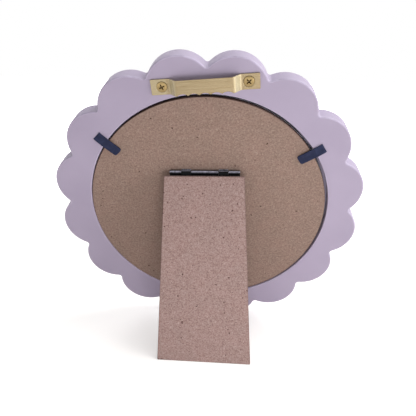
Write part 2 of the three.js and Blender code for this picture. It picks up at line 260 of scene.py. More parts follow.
def lofted(rings: Points, ends: Ends, wear: Points | None = None) -> Shell:
    """A closed surface through rings of points.

    Each quad joins two neighbours on a ring to the same two on the next ring. The signed volume, a
    sixth of the sum of a · (b × c) over the triangles, tells whether the faces point outwards.

    Args:
        rings: Points shaped (rings, points on a ring, 3).
        ends: How the first and the last ring are closed.
        wear: Edge wear and painted light of each ring, from 0 to 1, or None for none.

    Returns:
        The surface, with its faces pointing outwards.
    """
    ring_count, size, _ = rings.shape
    numbers = np.arange(ring_count * size).reshape(ring_count, size)
    points = rings.reshape(-1, 3)
    shade = np.zeros(ring_count) if wear is None else wear
    shades = np.repeat(shade, size)
    near, far = numbers, np.roll(numbers, -1, axis=0)
    fans = np.empty((0, 3), int)
    if ends is Ends.CAPPED:
        near, far = near[:-1], far[:-1]
        first, last, pole = numbers[0], numbers[-1], np.full(size, ring_count * size)
        fans = np.concatenate([
            np.stack([np.roll(first, -1), first, pole], axis=-1),
            np.stack([last, np.roll(last, -1), pole + 1], axis=-1),
        ])
        points = np.concatenate([points, rings[[0, -1]].mean(axis=1)])
        shades = np.concatenate([shades, shade[[0, -1]]])
    quads = np.stack([near, np.roll(near, -1, axis=1), np.roll(far, -1, axis=1), far], axis=-1)
    quads = quads.reshape(-1, 4)
    triangles = np.concatenate([quads[:, :3], quads[:, [0, 2, 3]], fans])
    a, b, c = (points[triangles[:, i]] for i in range(3))
    if np.einsum("ij,ij->", a, np.cross(b, c)) < 0.0:
        quads, fans = quads[:, ::-1], fans[:, ::-1]
    return Shell(points, quads, fans, shades)


def stacked(outlines: Points, heights: Points, ends: Ends, wear: Points | None) -> Shell:
    """A closed surface through flat outlines, shaped (rows, points, 2), each at the height of its row."""
    levels = np.broadcast_to(heights[:, None, None], (*outlines.shape[:2], 1))
    return lofted(np.concatenate([outlines, levels], axis=-1), ends, wear)


def revolved(profile: Points, columns: int, wear: Points | None = None) -> Shell:
    """A profile of (radius, height) points turned about z: (r cos a, r sin a, h)."""
    circle = turn(np.arange(columns) * 360.0 / columns)
    return stacked(profile[:, None, :1] * circle, profile[:, 1], Ends.CAPPED, wear)


def eased_rows(bottom: float, top: float, edge: float, steps: int = 5) -> tuple[Points, Points, Points]:
    """Rows over the thickness of a sheet whose two edges are quarter rounds.

    Args:
        bottom: Height of the lower face.
        top: Height of the upper face.
        edge: Radius of the edges.
        steps: Segments of each quarter round.

    Returns:
        How far each row lies in from the outline, its height, and its wear and painted light, full between the
        faces.
    """
    reach = 2 * edge
    section = rounded(np.array([[reach, bottom], [0.0, bottom], [0.0, top], [reach, top]]), edge, steps)
    _, lower, upper, _ = np.split(section, 4)
    arcs = np.concatenate([lower, upper])
    wear = np.ones(len(arcs))
    wear[[0, -1]] = 0.0
    return arcs[:, 0], arcs[:, 1], wear


def panel(corners: Points, radii: Points | float, span: tuple[float, float], edge: float) -> Shell:
    """A flat sheet cut to a convex outline, with rounded corners and eased edges.

    Each row is the outline moved inwards as the quarter-round edge asks at the row's height.

    Args:
        corners: Outline corners, shaped (corners, 2).
        radii: Radius of each corner, or of all.
        span: Heights of the lower and the upper face.
        edge: Radius of the edges.

    Returns:
        The sheet as a closed surface.
    """
    inward, heights, wear = eased_rows(*span, edge)
    rows = inset(np.broadcast_to(corners, (len(inward), *corners.shape)), inward)
    return stacked(rounded(rows, radii, CORNER_STEPS), heights, Ends.CAPPED, wear)


def disc(radius: float, span: tuple[float, float], edge: float, columns: int = 288) -> Shell:
    """A round sheet with eased edges: an eased thickness turned about z."""
    inward, heights, wear = eased_rows(*span, edge)
    return revolved(np.stack([radius - inward, heights], axis=-1), columns, wear)


def strip_section(width: float, thickness: float, edge: float, columns: int) -> Points:
    """Section of sheet metal: a rounded rectangle with extra points along its upper side.

    Args:
        width: Width, from -width/2 to width/2 along the first coordinate.
        thickness: Thickness, centred on 0 along the second coordinate.
        edge: Radius of the four edges.
        columns: Extra points along the upper side.

    Returns:
        Points of the closed section, shaped (points, 2).
    """
    across, up = width / 2, thickness / 2
    outline = rounded(rectangle(-across, across, -up, up), edge, EDGE_STEPS)
    corner = len(outline) // 4
    shares = np.linspace(0.0, 1.0, columns + 2)[1:-1, None]
    upper = outline[corner - 1] * (1 - shares) + outline[corner] * shares
    return np.concatenate([outline[:corner], upper, outline[corner:]])


def ribbon(path: Points, across: Points, sections: Points, wear: Points | None = None) -> Shell:
    """Sheet metal along a bent path: path + first coordinate · across + second coordinate · normal.

    The normal is square to the path's direction, taken between neighbouring stations, and to across.

    Args:
        path: Middle line, shaped (stations, 3).
        across: Direction of the width.
        sections: Section at each station, shaped (stations, points, 2) or the same for all.
        wear: Edge wear and painted light at each station, 0 to 1, or None for none.

    Returns:
        The strip as a closed surface.
    """
    normals = np.cross(unit(np.gradient(path, axis=0)), across)
    shape = (len(path), *sections.shape[-2:])
    wide, high = np.moveaxis(np.broadcast_to(sections, shape), -1, 0)
    rings = path[:, None] + wide[..., None] * across + high[..., None] * normals[:, None]
    return lofted(rings, Ends.CAPPED, wear)


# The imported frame


def node_points(node: str) -> Points:
    """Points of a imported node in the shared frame.

    Args:
        node: Name of the node.

    Returns:
        The points, shaped (points, 3), in metres.
    """
    vertices = frame["nodes"][node].data.vertices
    flat = np.empty(3 * len(vertices))
    vertices.foreach_get("co", flat)
    return flat.reshape(-1, 3)


def joint_named(name: str) -> dict:
    """The record's joint of that name."""
    return next(joint for joint in frame["joints"] if joint["name"] == name)


def body_of(node: str) -> str:
    """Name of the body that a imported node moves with."""
    bodies = frame["record"]["behaviour"]["bodies"]
    return next(body for body, members in bodies.items() if node in members)


def slot_of(node: str) -> str:
    """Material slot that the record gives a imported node."""
    rows = frame["record"]["subparts"]
    return next(row["material_slot"] for row in rows if row["node"] == node)


@dataclass(frozen=True)
class Places:
    """Placements of the sub-assemblies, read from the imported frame.

    Attributes:
        drawing: Centre of the moulding's back face; x right, y up, z out of the back.
        hinge: Middle of the hinge axis; x along it, y up the board, z out of the back.
        leg: The hinge's placement swung out with the open leg.
        hanger: Midway between the hanger's screws on the back face, x along the strip.
        tabs: Crease of each tab at mid thickness; x along the blade, y along the crease.
    """

    drawing: Placement
    hinge: Placement
    leg: Placement
    hanger: Placement
    tabs: dict[Side, Placement]

    @classmethod
    def from_frame(cls) -> "Places":
        """Works the placements out from the joints and nodes.

        The creases of the two tabs lie in the back face, so their cross product is its normal.

        Returns:
            The placements.
        """
        creases = {side: joint_named(f"tab_{side.word}_bend") for side in Side}
        out = unit(np.cross(*(crease["axis"] for crease in creases.values())))
        out *= np.sign(out[1])
        right = np.array([-1.0, 0.0, 0.0])
        drawing = Placement(np.zeros(3), np.stack([right, np.cross(out, right), out]))
        low, high = drawing.extent("frame_moulding")
        drawing = drawing.moved(*((low + high)[:2] / 2), high[2])

        swing = joint_named("leg_swing")
        along = unit(np.array(swing["axis"]))
        along *= np.sign(along @ right)
        hinge = Placement(np.array(swing["pos_m"]), np.stack([along, np.cross(out, along), out]))
        leg = hinge.turned(Axis.X, min(swing["range_deg"]))

        screws = {side: drawing.extent(f"hanger_screw_{side.word}") for side in Side}
        left, right_screw = ((low + high)[:2] / 2 for low, high in screws.values())
        rise, run = (right_screw - left)[1], (right_screw - left)[0]
        hanger = drawing.moved(*((left + right_screw) / 2))
        hanger = hanger.turned(Axis.Z, math.degrees(math.atan2(rise, run)))

        tabs = {}
        for side, crease in creases.items():
            across = -unit(np.array(crease["axis"]))
            axes = np.stack([np.cross(across, out), across, out])
            tabs[side] = Placement(np.array(crease["pos_m"]), axes)
        return cls(drawing, hinge, leg, hanger, tabs)


# Finishes


def linear(colour: Colour) -> tuple[float, float, float, float]:
    """A colour as the linear colour that the shaders take, by the standard curve of display colours.

    Args:
        colour: Red, green and blue, from 0 to 255.

    Returns:
        Linear red, green and blue, and an alpha of 1.
    """
    share = np.array(colour) / 255.0
    value = np.where(share <= 0.04045, share / 12.92, ((share + 0.055) / 1.055) ** 2.4)
    return (*value.tolist(), 1.0)


class ShaderGraph:
    """The nodes of one material or world, added one at a time and linked as they come."""

    def __init__(self, tree: bpy.types.NodeTree) -> None:
        """Starts with an emptied tree."""
        self.tree = tree
        self.tree.nodes.clear()

    def add(self, kind: str, sockets: dict | None = None, **settings: object) -> bpy.types.Node:
        """Adds a node.

        Args:
            kind: Node type, without its ShaderNode prefix.
            sockets: Input values by name or number; a socket is linked, anything else is set.
            settings: Properties of the node.

        Returns:
            The new node.
        """
        node = self.tree.nodes.new(f"ShaderNode{kind}")
        for name, value in settings.items():
            setattr(node, name, value)
        for name, value in (sockets or {}).items():
            if isinstance(value, Socket):
                self.tree.links.new(value, node.inputs[name])
            else:
                node.inputs[name].default_value = value
        return node

    def drawn(self) -> Socket:
        """The piece's own drawing coordinates, in millimetres."""
        return self.add("Attribute", attribute_name="drawing").outputs["Vector"]

    def wear(self) -> Socket:
        """The piece's mask of edge wear and painted light, from 0 to 1."""
        return self.add("Attribute", attribute_name="wear").outputs["Fac"]

    def noise(self, coords: Socket, grain: float, detail: float = 2.0, roughness: float = 0.5) -> Socket:
        """Noise of about 0 to 1 whose features are one grain across, in millimetres."""
        settings = {"Vector": coords, "Scale": 1.0 / grain, "Detail": detail, "Roughness": roughness}
        return self.add("TexNoise", settings).outputs["Fac"]

    def stretched(self, coords: Socket, lengths: tuple[float, float, float], degrees: float) -> Socket:
        """The coordinates along axes turned about z, counted in a length of each axis.

        Args:
            coords: Coordinates, in millimetres.
            lengths: Length that counts as 1 along each turned axis.
            degrees: Angle of the turn.

        Returns:
            The turned and counted coordinates.
        """
        angle = (0.0, 0.0, math.radians(degrees))
        settings = {"Vector": coords, "Rotation": angle, "Scale": lengths}
        return self.add("Mapping", settings, vector_type="TEXTURE").outputs["Vector"]

    def sideways(self, coords: Socket) -> Socket:
        """The x of the coordinates."""
        return self.add("SeparateXYZ", {"Vector": coords}).outputs["X"]

    def radius(self, coords: Socket) -> Socket:
        """Distance of the coordinates from the z axis."""
        flat = self.add("VectorMath", {0: coords, 1: (1.0, 1.0, 0.0)}, operation="MULTIPLY")
        return self.add("VectorMath", {0: flat.outputs["Vector"]}, operation="LENGTH").outputs["Value"]

    def math(self, operation: str, first: Socket | float, second: Socket | float) -> Socket:
        """One arithmetic step on two values."""
        return self.add("Math", {0: first, 1: second}, operation=operation).outputs["Value"]

    def span(self, value: Socket, source: tuple[float, float], target: tuple[float, float]) -> Socket:
        """A value carried from one range to another, and held at the ends."""
        ends = {"From Min": source[0], "From Max": source[1], "To Min": target[0], "To Max": target[1]}
        return self.add("MapRange", {"Value": value, **ends}).outputs["Result"]

    def blend(self, share: Socket, first: Socket | Colour, second: Socket | Colour) -> Socket:
        """A colour between two others.

        Args:
            share: Share of the second colour.
            first: Colour at share 0.
            second: Colour at share 1.

        Returns:
            The mixed colour.
        """
        ends = [end if isinstance(end, Socket) else linear(end) for end in (first, second)]
        node = self.add("Mix", {0: share, 6: ends[0], 7: ends[1]}, data_type="RGBA")
        return node.outputs[2]

    def toned(
        self, value: Socket, ends: tuple[float, float], most: float, first: Socket | Colour, tone: Colour
    ) -> Socket:
        """The first colour under a tone whose share rises to its most as a value goes between two ends."""
        return self.blend(self.span(value, ends, (0.0, most)), first, tone)

    def bump(self, height: Socket, depth: float, strength: float = 1.0) -> Socket:
        """Normals of a relief whose height of 1 is the depth, in millimetres."""
        settings = {"Height": height, "Distance": depth * MILLIMETRE, "Strength": strength}
        return self.add("Bump", settings).outputs["Normal"]

    def finish(self, sockets: dict) -> None:
        """Ends the material in a principled shader with these inputs."""
        shader = self.add("BsdfPrincipled", sockets)
        self.add("OutputMaterial", {"Surface": shader.outputs["BSDF"]})


@dataclass(frozen=True)
class Finish(ABC):
    """A surface finish, whose material is made once and shared."""

    name: str

    @cache
    def material(self) -> bpy.types.Material:
        """The finish's material, made on first use and then kept.

        Returns:
            The material.
        """
        made = bpy.data.materials.new(self.name)
        made.use_nodes = True
        self.dress(ShaderGraph(made.node_tree))
        return made

    @abstractmethod
    def dress(self, graph: ShaderGraph) -> None:
        """Adds the finish's nodes to an empty graph."""


@dataclass(frozen=True)
class SprayedPaint(Finish):
    """Satin paint sprayed on fibreboard: faint clouds, a fine orange peel, painted highlight on arrises."""

    colour: Colour = (177, 165, 188)
    cloud: Colour = (172, 160, 183)
    # painted highlight: the lighter lilac laid on the arrises, in patches
    arris: Colour = (198, 188, 211)
    cloud_grain: float = 34.0
    peel_grain: float = 0.8
    peel_depth: float = 0.012
    fibre_grain: float = 0.28
    fibre_share: float = 0.35  # of the peel's relief
    rub_grain: float = 5.0
    roughness: tuple[float, float] = (0.46, 0.6)

    def dress(self, graph: ShaderGraph) -> None:
        """Clouds under a peel of noise, with a painted highlight on the arrises, in patches.

        Args:
            graph: Empty graph of the material.
        """
        coords = graph.drawn()
        clouds = graph.noise(coords, self.cloud_grain, 3.0)
        body = graph.toned(clouds, (0.35, 0.65), 1.0, self.colour, self.cloud)
        # Painted highlight on the arrises, in patches of noise.
        patches = graph.span(graph.noise(coords, self.rub_grain, 4.0), (0.35, 0.7), (0.15, 0.8))
        lightened_share = graph.math("MULTIPLY", graph.wear(), patches)
        peel = graph.noise(coords, self.peel_grain, 2.0)
        fibres = graph.noise(coords, self.fibre_grain, 3.0)
        relief = graph.math("ADD", peel, graph.math("MULTIPLY", fibres, self.fibre_share))
        graph.finish({
            "Base Color": graph.blend(lightened_share, body, self.arris),
            "Roughness": graph.span(clouds, (0.3, 0.7), self.roughness),
            "Normal": graph.bump(relief, self.peel_depth),
        })


@dataclass(frozen=True)
class BareFibreboard(Finish):
    """Unpainted fibreboard: matted fibres, pale and dark strands, bark flecks and scorched edges with painted
    shade.
    """

    warm: Colour = (153, 127, 116)
    cool: Colour = (147, 124, 113)
    strand: Colour = (184, 163, 151)
    shade: Colour = (108, 84, 73)
    fleck: Colour = (62, 38, 32)
    cut: Colour = (56, 35, 30)
    cloud_grain: float = 12.0
    mat_grain: float = 1.1
    strand_length: float = 3.6
    strand_width: float = 0.55
    strand_leans: tuple[float, ...] = (28.0, -47.0, 80.0, -8.0)  # degrees, pale and dark by turns
    strand_relief: float = 0.35  # of the mat's relief
    fleck_leans: tuple[float, ...] = (38.0, -16.0, 97.0)  # degrees
    fleck_pitch: float = 9.5
    fleck_slimness: float = 0.5  # width of a fleck, of its length
    fleck_reach: float = 0.085  # half length of the largest flecks, of the pitch
    relief_depth: float = 0.05
    contrast: float = 0.55
    scorch: tuple[float, float] = (0.85, 0.2)  # share of the cut colour on the left and on the right: scorch, with painted shade raising the left
    scorch_reach: tuple[float, float] = (15.0, 48.0)  # x between which the share changes, and the painted shade fades

    def dress(self, graph: ShaderGraph) -> None:
        """Clouds of two tones, crossed by strands, a mat of fine fibres and flecks in random cells.

        Args:
            graph: Empty graph of the material.
        """
        coords = graph.drawn()
        clouds = graph.noise(coords, self.cloud_grain, 4.0, 0.6)
        colour = graph.toned(clouds, (0.36, 0.64), 1.0, self.warm, self.cool)
        mat = graph.noise(coords, self.mat_grain, 4.0, 0.65)
        colour = graph.toned(mat, (0.5, 0.26), self.contrast, colour, self.shade)
        colour = graph.toned(mat, (0.5, 0.76), self.contrast, colour, self.strand)
        relief = mat
        lengths = (self.strand_length, self.strand_width, 1.0)
        for degrees, tone in zip(self.strand_leans, cycle((self.strand, self.shade))):
            strands = graph.noise(graph.stretched(coords, lengths, degrees), 1.0, 2.0)
            colour = graph.toned(strands, (0.6, 0.72), self.contrast, colour, tone)
            relief = graph.math("ADD", relief, graph.math("MULTIPLY", strands, self.strand_relief))
        pitch = self.fleck_pitch
        for degrees in self.fleck_leans:
            leaning = graph.stretched(coords, (pitch, self.fleck_slimness * pitch, pitch), degrees)
            cell = graph.add("TexVoronoi", {"Vector": leaning, "Scale": 1.0})
            chance = graph.add("SeparateColor", {"Color": cell.outputs["Color"]}).outputs["Red"]
            reach = graph.span(chance, (0.2, 1.0), (0.0, self.fleck_reach))
            inside = graph.math("SUBTRACT", reach, cell.outputs["Distance"])
            colour = graph.toned(inside, (-0.006, 0.02), 0.9, colour, self.fleck)
        # The cut edges are scorched dark, and darker still towards the left as painted shade.
        scorch = graph.span(graph.sideways(coords), self.scorch_reach, self.scorch)
        graph.finish({
            "Base Color": graph.blend(graph.math("MULTIPLY", graph.wear(), scorch), colour, self.cut),
            "Roughness": graph.span(mat, (0.3, 0.7), (0.78, 0.95)),
            "Specular IOR Level": 0.25,
            "Normal": graph.bump(relief, self.relief_depth, 0.8),
        })


@dataclass(frozen=True)
class BrushedBrass(Finish):
    """Brass plating, brushed along its length, browned in patches, with painted light where its mask is set."""

    # Colour and metalness where the mask is full: painted highlight on the hanger, painted shade in screw
    # recesses.
    worn: Colour
    worn_metal: float
    colour: Colour = (139, 123, 94)
    pale: Colour = (163, 147, 119)
    brown: Colour = (104, 80, 46)
    brush_length: float = 14.0
    brush_width: float = 0.16
    brush_depth: float = 0.006
    tarnish_grain: float = 6.0
    tarnish: float = 0.35  # share of the brown where the tarnish is full
    roughness: tuple[float, float] = (0.24, 0.38)

    def dress(self, graph: ShaderGraph) -> None:
        """Noise drawn out along x for the brush marks, over soft clouds of tarnish.

        Args:
            graph: Empty graph of the material.
        """
        coords = graph.drawn()
        lengths = (self.brush_length, self.brush_width, self.brush_width)
        lines = graph.noise(graph.stretched(coords, lengths, 0.0), 1.0, 3.0)
        clouds = graph.noise(coords, self.tarnish_grain, 4.0, 0.6)
        colour = graph.toned(lines, (0.35, 0.7), 1.0, self.colour, self.pale)
        colour = graph.toned(clouds, (0.6, 0.84), self.tarnish, colour, self.brown)
        wear = graph.wear()
        graph.finish({
            "Base Color": graph.blend(wear, colour, self.worn),
            "Metallic": graph.span(wear, (0.0, 1.0), (1.0, self.worn_metal)),
            "Roughness": graph.span(lines, (0.3, 0.7), self.roughness),
            "Normal": graph.bump(lines, self.brush_depth),
        })


@dataclass(frozen=True)
class DippedLacquer(Finish):
    """Dark lacquer on steel: slightly uneven, a bloom of handling, bare where rubbed, painted highlights."""

    colour: Colour = (36, 41, 67)
    bloom: Colour = (52, 58, 87)
    # The pale colour: bare metal where rubbed, and a painted highlight along the hinge's knuckles.
    bare: Colour = (112, 118, 138)
    bloom_grain: float = 3.2
    ripple_grain: float = 0.5
    ripple_depth: float = 0.008
    roughness: tuple[float, float] = (0.34, 0.5)
    gloss: float = 0.12
    rub_grain: float = 1.6
    rubbing: float = 0.3  # share of the lacquer gone, and of painted highlight on the hinge, where the mask is full

    def dress(self, graph: ShaderGraph) -> None:
        """Clouds of bloom over a fine ripple, broken by pale patches of rubbing and of painted highlight.

        Args:
            graph: Empty graph of the material.
        """
        coords = graph.drawn()
        clouds = graph.noise(coords, self.bloom_grain, 5.0, 0.62)
        ripple = graph.noise(coords, self.ripple_grain, 3.0)
        lacquer = graph.toned(clouds, (0.45, 0.75), 0.8, self.colour, self.bloom)
        # Pale where masked: bare metal on rubbed edges, and a painted highlight on the hinge's knuckles.
        patches = graph.span(graph.noise(coords, self.rub_grain, 4.0, 0.65), (0.35, 0.65), (0.4, 1.0))
        lightened_share = graph.math("MULTIPLY", graph.wear(), graph.math("MULTIPLY", patches, self.rubbing))
        graph.finish({
            "Base Color": graph.blend(lightened_share, lacquer, self.bare),
            "Roughness": graph.span(clouds, (0.3, 0.7), self.roughness),
            "Specular IOR Level": self.gloss,
            "Normal": graph.bump(ripple, self.ripple_depth),
        })


@dataclass(frozen=True)
class TurnedSteel(Finish):
    """Plain zinc-grey steel with fine drawing lines."""

    colour: Colour = (140, 142, 146)
    dull: Colour = (98, 98, 102)
    grain: float = 0.3
    grain_depth: float = 0.004
    roughness: tuple[float, float] = (0.32, 0.5)

    def dress(self, graph: ShaderGraph) -> None:
        """Fine noise between the bright and the dull grey.

        Args:
            graph: Empty graph of the material.
        """
        noise = graph.noise(graph.drawn(), self.grain, 4.0)
        graph.finish({
            "Base Color": graph.toned(noise, (0.35, 0.7), 1.0, self.colour, self.dull),
            "Metallic": 1.0,
            "Roughness": graph.span(noise, (0.3, 0.7), self.roughness),
            "Normal": graph.bump(noise, self.grain_depth),
        })


@dataclass(frozen=True)
class ClearPane(Finish):
    """Float glass, with the green of its thickness at the cut edge."""

    face: Colour = (250, 252, 251)
    cut: Colour = (96, 124, 114)
    smear_grain: float = 40.0
    roughness: tuple[float, float] = (0.01, 0.03)
    refraction: float = 1.5

    def dress(self, graph: ShaderGraph) -> None:
        """Transmits, tinted only where the edge is cut.

        Args:
            graph: Empty graph of the material.
        """
        smears = graph.noise(graph.drawn(), self.smear_grain)
        graph.finish({
            "Base Color": graph.blend(graph.wear(), self.face, self.cut),
            "Roughness": graph.span(smears, (0.3, 0.7), self.roughness),
            "Transmission Weight": 1.0,
            "IOR": self.refraction,
        })


@dataclass(frozen=True)
class PlainCard(Finish):
    """Uncoated white card with a faint paper mottle."""

    colour: Colour = (240, 238, 232)
    mottle: Colour = (228, 224, 215)
    tooth_grain: float = 0.5
    tooth_depth: float = 0.02
    roughness: float = 0.9

    def dress(self, graph: ShaderGraph) -> None:
        """Fine mottle and tooth.

        Args:
            graph: Empty graph of the material.
        """
        tooth = graph.noise(graph.drawn(), self.tooth_grain, 5.0, 0.65)
        graph.finish({
            "Base Color": graph.toned(tooth, (0.35, 0.7), 1.0, self.colour, self.mottle),
            "Roughness": self.roughness,
            "Normal": graph.bump(tooth, self.tooth_depth),
        })


LILAC_PAINT = SprayedPaint("lilac_spray_paint")
BOARD_FACE = BareFibreboard("backboard_fibreboard")
LEG_FACE = BareFibreboard(
    "leg_fibreboard",
    warm=(163, 135, 130),
    cool=(158, 133, 128),
    strand=(190, 168, 162),
    shade=(118, 88, 82),
    fleck=(72, 40, 35),
    mat_grain=0.9,
    strand_length=3.2,
    strand_width=0.5,
    fleck_pitch=6.8,
    fleck_reach=0.125,
    contrast=0.8,
    scorch=(0.35, 0.35),
)
# Painted highlight: pale and less metallic on the ramps and the left end.
BRASS_SHEET = BrushedBrass("brushed_brass", worn=(200, 188, 154), worn_metal=0.25)
# Painted shade: dark brown in the cross recess, by the mask that follows its depth.
BRASS_SCREW = BrushedBrass(
    "turned_brass",
    worn=(74, 52, 24),
    worn_metal=0.8,
    colour=(138, 117, 78),
    pale=(168, 147, 106),
)
NAVY_LACQUER = DippedLacquer("dipped_navy_lacquer")
# Painted highlight: a pale line along each hinge knuckle's crown, laid by the mask.
BLACK_PAINT = DippedLacquer(
    "black_hinge_paint",
    colour=(10, 10, 13),
    bloom=(24, 25, 32),
    bare=(208, 208, 228),
    roughness=(0.28, 0.42),
    rubbing=1.0,
)
PLAIN_STEEL = TurnedSteel("turned_steel")
CLEAR_PANE = ClearPane("clear_pane")
PLAIN_CARD = PlainCard("plain_card")


def add_piece(name: str, shells: list[Shell], place: Placement, finish: Finish, node: str) -> Piece:
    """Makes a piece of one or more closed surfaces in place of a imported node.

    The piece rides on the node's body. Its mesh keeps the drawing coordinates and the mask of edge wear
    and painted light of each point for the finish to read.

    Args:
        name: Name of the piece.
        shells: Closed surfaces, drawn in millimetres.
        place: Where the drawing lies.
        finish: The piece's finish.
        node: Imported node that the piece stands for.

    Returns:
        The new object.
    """
    points = np.concatenate([shell.points for shell in shells])
    starts = np.cumsum([0, *(len(shell.points) for shell in shells)])
    faces = []
    for shell, start in zip(shells, starts):
        faces += (shell.quads + start).tolist() + (shell.fans + start).tolist()
    mesh = bpy.data.meshes.new(name)
    mesh.from_pydata(place.to_world(points).tolist(), [], faces)
    drawing = mesh.attributes.new("drawing", "FLOAT_VECTOR", "POINT")
    drawing.data.foreach_set("vector", points.ravel())
    wear = mesh.attributes.new("wear", "FLOAT", "POINT")
    wear.data.foreach_set("value", np.concatenate([shell.wear for shell in shells]))
    mesh.shade_smooth()
    mesh.set_sharp_from_angle(angle=math.radians(SHARP_ANGLE))
    mesh.materials.append(finish.material())
    piece = bpy.data.objects.new(name, mesh)
    bpy.context.scene.collection.objects.link(piece)
    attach(piece, body_of(node))
    slot_of(node)
    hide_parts(node)
    return piece


# Sub-assemblies

OPENING_OFFSET = np.array([0.6, -0.5])  # how far right and up the opening lies off the lobes' middle


class SubAssembly(ABC):
    """Pieces that are built and dressed together."""

    @abstractmethod
    def build(self, places: Places) -> Iterator[Piece]:
        """Builds and dresses the pieces, one at a time."""


@dataclass(frozen=True)
class Moulding(SubAssembly):
    """The painted ring with a scalloped outside and a stepped opening."""

    lobe_count: int = 16
    lobe_radius: float = 20.0
    lobe_centre_radius: float = 80.0
    groove_fillet: float = 2.0
    thickness: float = 12.0
    outer_edge: float = 0.86
    rebate_radius: float = 77.2
    lip_width: float = 6.2
    lip_height: float = -7.4
    inner_edge: float = 0.3
    rebate_edge: float = 0.5
    facet_allowance: float = 0.1  # keeps the true curves inside the packed, faceted ones
    lobe_columns: int = 44
    groove_columns: int = 10
    edge_steps: int = 6

    def outline(self) -> tuple[Points, Points]:
        """Scalloped outline, with its outward normals.

        Within half a step of a groove, the outline at angle a from the groove is the fillet's near
        side, C cos a - √(f² - C² sin² a), up to the angle at which fillet and lobe touch, and then the
        lobe's far side. The normal runs through the centre of whichever circle makes the outline.

        Returns:
            Points and normals, each shaped (points, 2).
        """
        step = 360.0 / self.lobe_count
        half_step = math.radians(step / 2)
        sideways = self.lobe_centre_radius * math.sin(half_step)
        reach = self.lobe_radius + self.groove_fillet
        rise = math.sqrt(reach**2 - sideways**2)
        groove_radius = self.lobe_centre_radius * math.cos(half_step) + rise
        share = self.groove_fillet / reach
        touch = math.degrees(math.atan2(share * sideways, groove_radius - share * rise))
        groove = np.linspace(-touch, touch, self.groove_columns, endpoint=False)
        lobe = np.linspace(touch, step - touch, self.lobe_columns, endpoint=False) - step / 2

        turns = np.arange(self.lobe_count)[:, None] * step + 90.0
        groove_points, groove_normals = self.circle(groove, turns, groove_radius, -self.groove_fillet)
        turns = turns + step / 2
        lobe_points, lobe_normals = self.circle(lobe, turns, self.lobe_centre_radius, self.lobe_radius)
        points = np.concatenate([groove_points, lobe_points], axis=1).reshape(-1, 2)
        normals = np.concatenate([groove_normals, lobe_normals], axis=1).reshape(-1, 2)
        return points - self.facet_allowance * normals, normals

    @staticmethod
    def circle(angles: Points, turns: Points, centre_radius: float, radius: float) -> tuple[Points, Points]:
        """Where rays from the middle leave circles that are set round it.

        A ray at angle a from the line to a circle's centre leaves it at C cos a + √(r² - C² sin² a); a
        negative radius takes the near side instead, with the normal turned towards the centre.

        Args:
            angles: Angles of the rays from each circle's centre line, in degrees.
            turns: Directions of the circles' centres, shaped (circles, 1), in degrees.
            centre_radius: Distance of the circles' centres from the middle.
            radius: Radius of the circles.

        Returns:
            Points and normals, each shaped (circles, rays, 2).
        """
        off = np.radians(angles)
        along = np.sqrt(radius**2 - (centre_radius * np.sin(off)) ** 2)
        distance = centre_radius * np.cos(off) + math.copysign(1.0, radius) * along
        points = distance[:, None] * turn(turns + angles)
        return points, (points - centre_radius * turn(turns)) / radius

    def section(self) -> tuple[Points, Points]:
        """Section of the ring as if its outside were a plain circle.

        Returns:
            Points of (radius, height), and the mask of each: 1 on the arrises, for their painted highlight.
        """
        outside = self.lobe_centre_radius + self.lobe_radius
        sight = self.rebate_radius - self.lip_width
        corners = np.array([
            [outside, 0.0],
            [outside, -self.thickness],
            [sight, -self.thickness],
            [sight, self.lip_height],
            [self.rebate_radius, self.lip_height],
            [self.rebate_radius, 0.0],
        ])
        outer, inner = self.outer_edge, self.inner_edge
        radii = np.array([outer, outer, outer, inner, inner / 2, self.rebate_edge])
        wear = rounded_wear(len(corners), self.edge_steps)
        return rounded(corners, radii, self.edge_steps), wear

    def shell(self) -> Shell:
        """The ring: outer rows follow the scallop inwards along its normals, inner rows are circles.

        The circles lie off the middle by the opening's offset.

        Returns:
            The ring as a closed surface, joined round its section.
        """
        outline, normals = self.outline()
        section, wear = self.section()
        outside = self.lobe_centre_radius + self.lobe_radius
        radius = section[:, None, :1]
        outer = outline - (outside - radius) * normals
        inner = radius * unit(outline) + OPENING_OFFSET
        flat = np.where(radius > (outside + self.rebate_radius) / 2, outer, inner)
        return stacked(flat, section[:, 1], Ends.JOINED, wear)

    def build(self, places: Places) -> Iterator[Piece]:
        """The painted ring."""
        yield add_piece("scalloped_moulding", [self.shell()], places.drawing, LILAC_PAINT, "frame_moulding")


@dataclass(frozen=True)
class RoundSheet:
    """A round sheet in the rebate, with the radius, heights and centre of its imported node.

    Attributes:
        name: Name of the piece.
        node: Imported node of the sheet.
        finish: The sheet's finish.
        edge: Radius of the eased edges.
        beyond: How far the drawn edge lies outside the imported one.
        settling: How far the sheet has settled to the right and upwards in the opening.
    """

    name: str
    node: str
    finish: Finish
    edge: float
    beyond: float = 0.0
    settling: tuple[float, float] = (0.0, 0.0)

    def shell(self, place: Placement) -> Shell:
        """An eased disc, moved with the opening and by the settling.

        Args:
            place: Placement of the moulding's drawing.

        Returns:
            The sheet as a closed surface in the moulding's drawing.
        """
        low, high = place.extent(self.node)
        sheet = disc((high - low)[0] / 2 + self.beyond, (low[2], high[2]), self.edge)
        middle = (low + high)[:2] / 2 + OPENING_OFFSET + self.settling
        return replace(sheet, points=sheet.points + np.append(middle, 0.0))


@dataclass(frozen=True)
class RebateStack(SubAssembly):
    """Pane, card and backboard, which lie in the moulding's rebate, from the front to the back."""

    sheets: tuple[RoundSheet, ...] = (
        RoundSheet("glass_pane", "glazing", CLEAR_PANE, edge=0.2),
        RoundSheet("blank_card", "photo_insert", PLAIN_CARD, edge=0.05),
        RoundSheet(
            "fibre_backboard", "backboard", BOARD_FACE, edge=0.35, beyond=0.6, settling=(-0.05, -0.45)
        ),
    )

    def build(self, places: Places) -> Iterator[Piece]:
        """The three sheets.

        Args:
            places: Placements of the sub-assemblies.

        Returns:
            The pieces, one at a time.
        """
        place = places.drawing
        for sheet in self.sheets:
            yield add_piece(sheet.name, [sheet.shell(place)], place, sheet.finish, sheet.node)


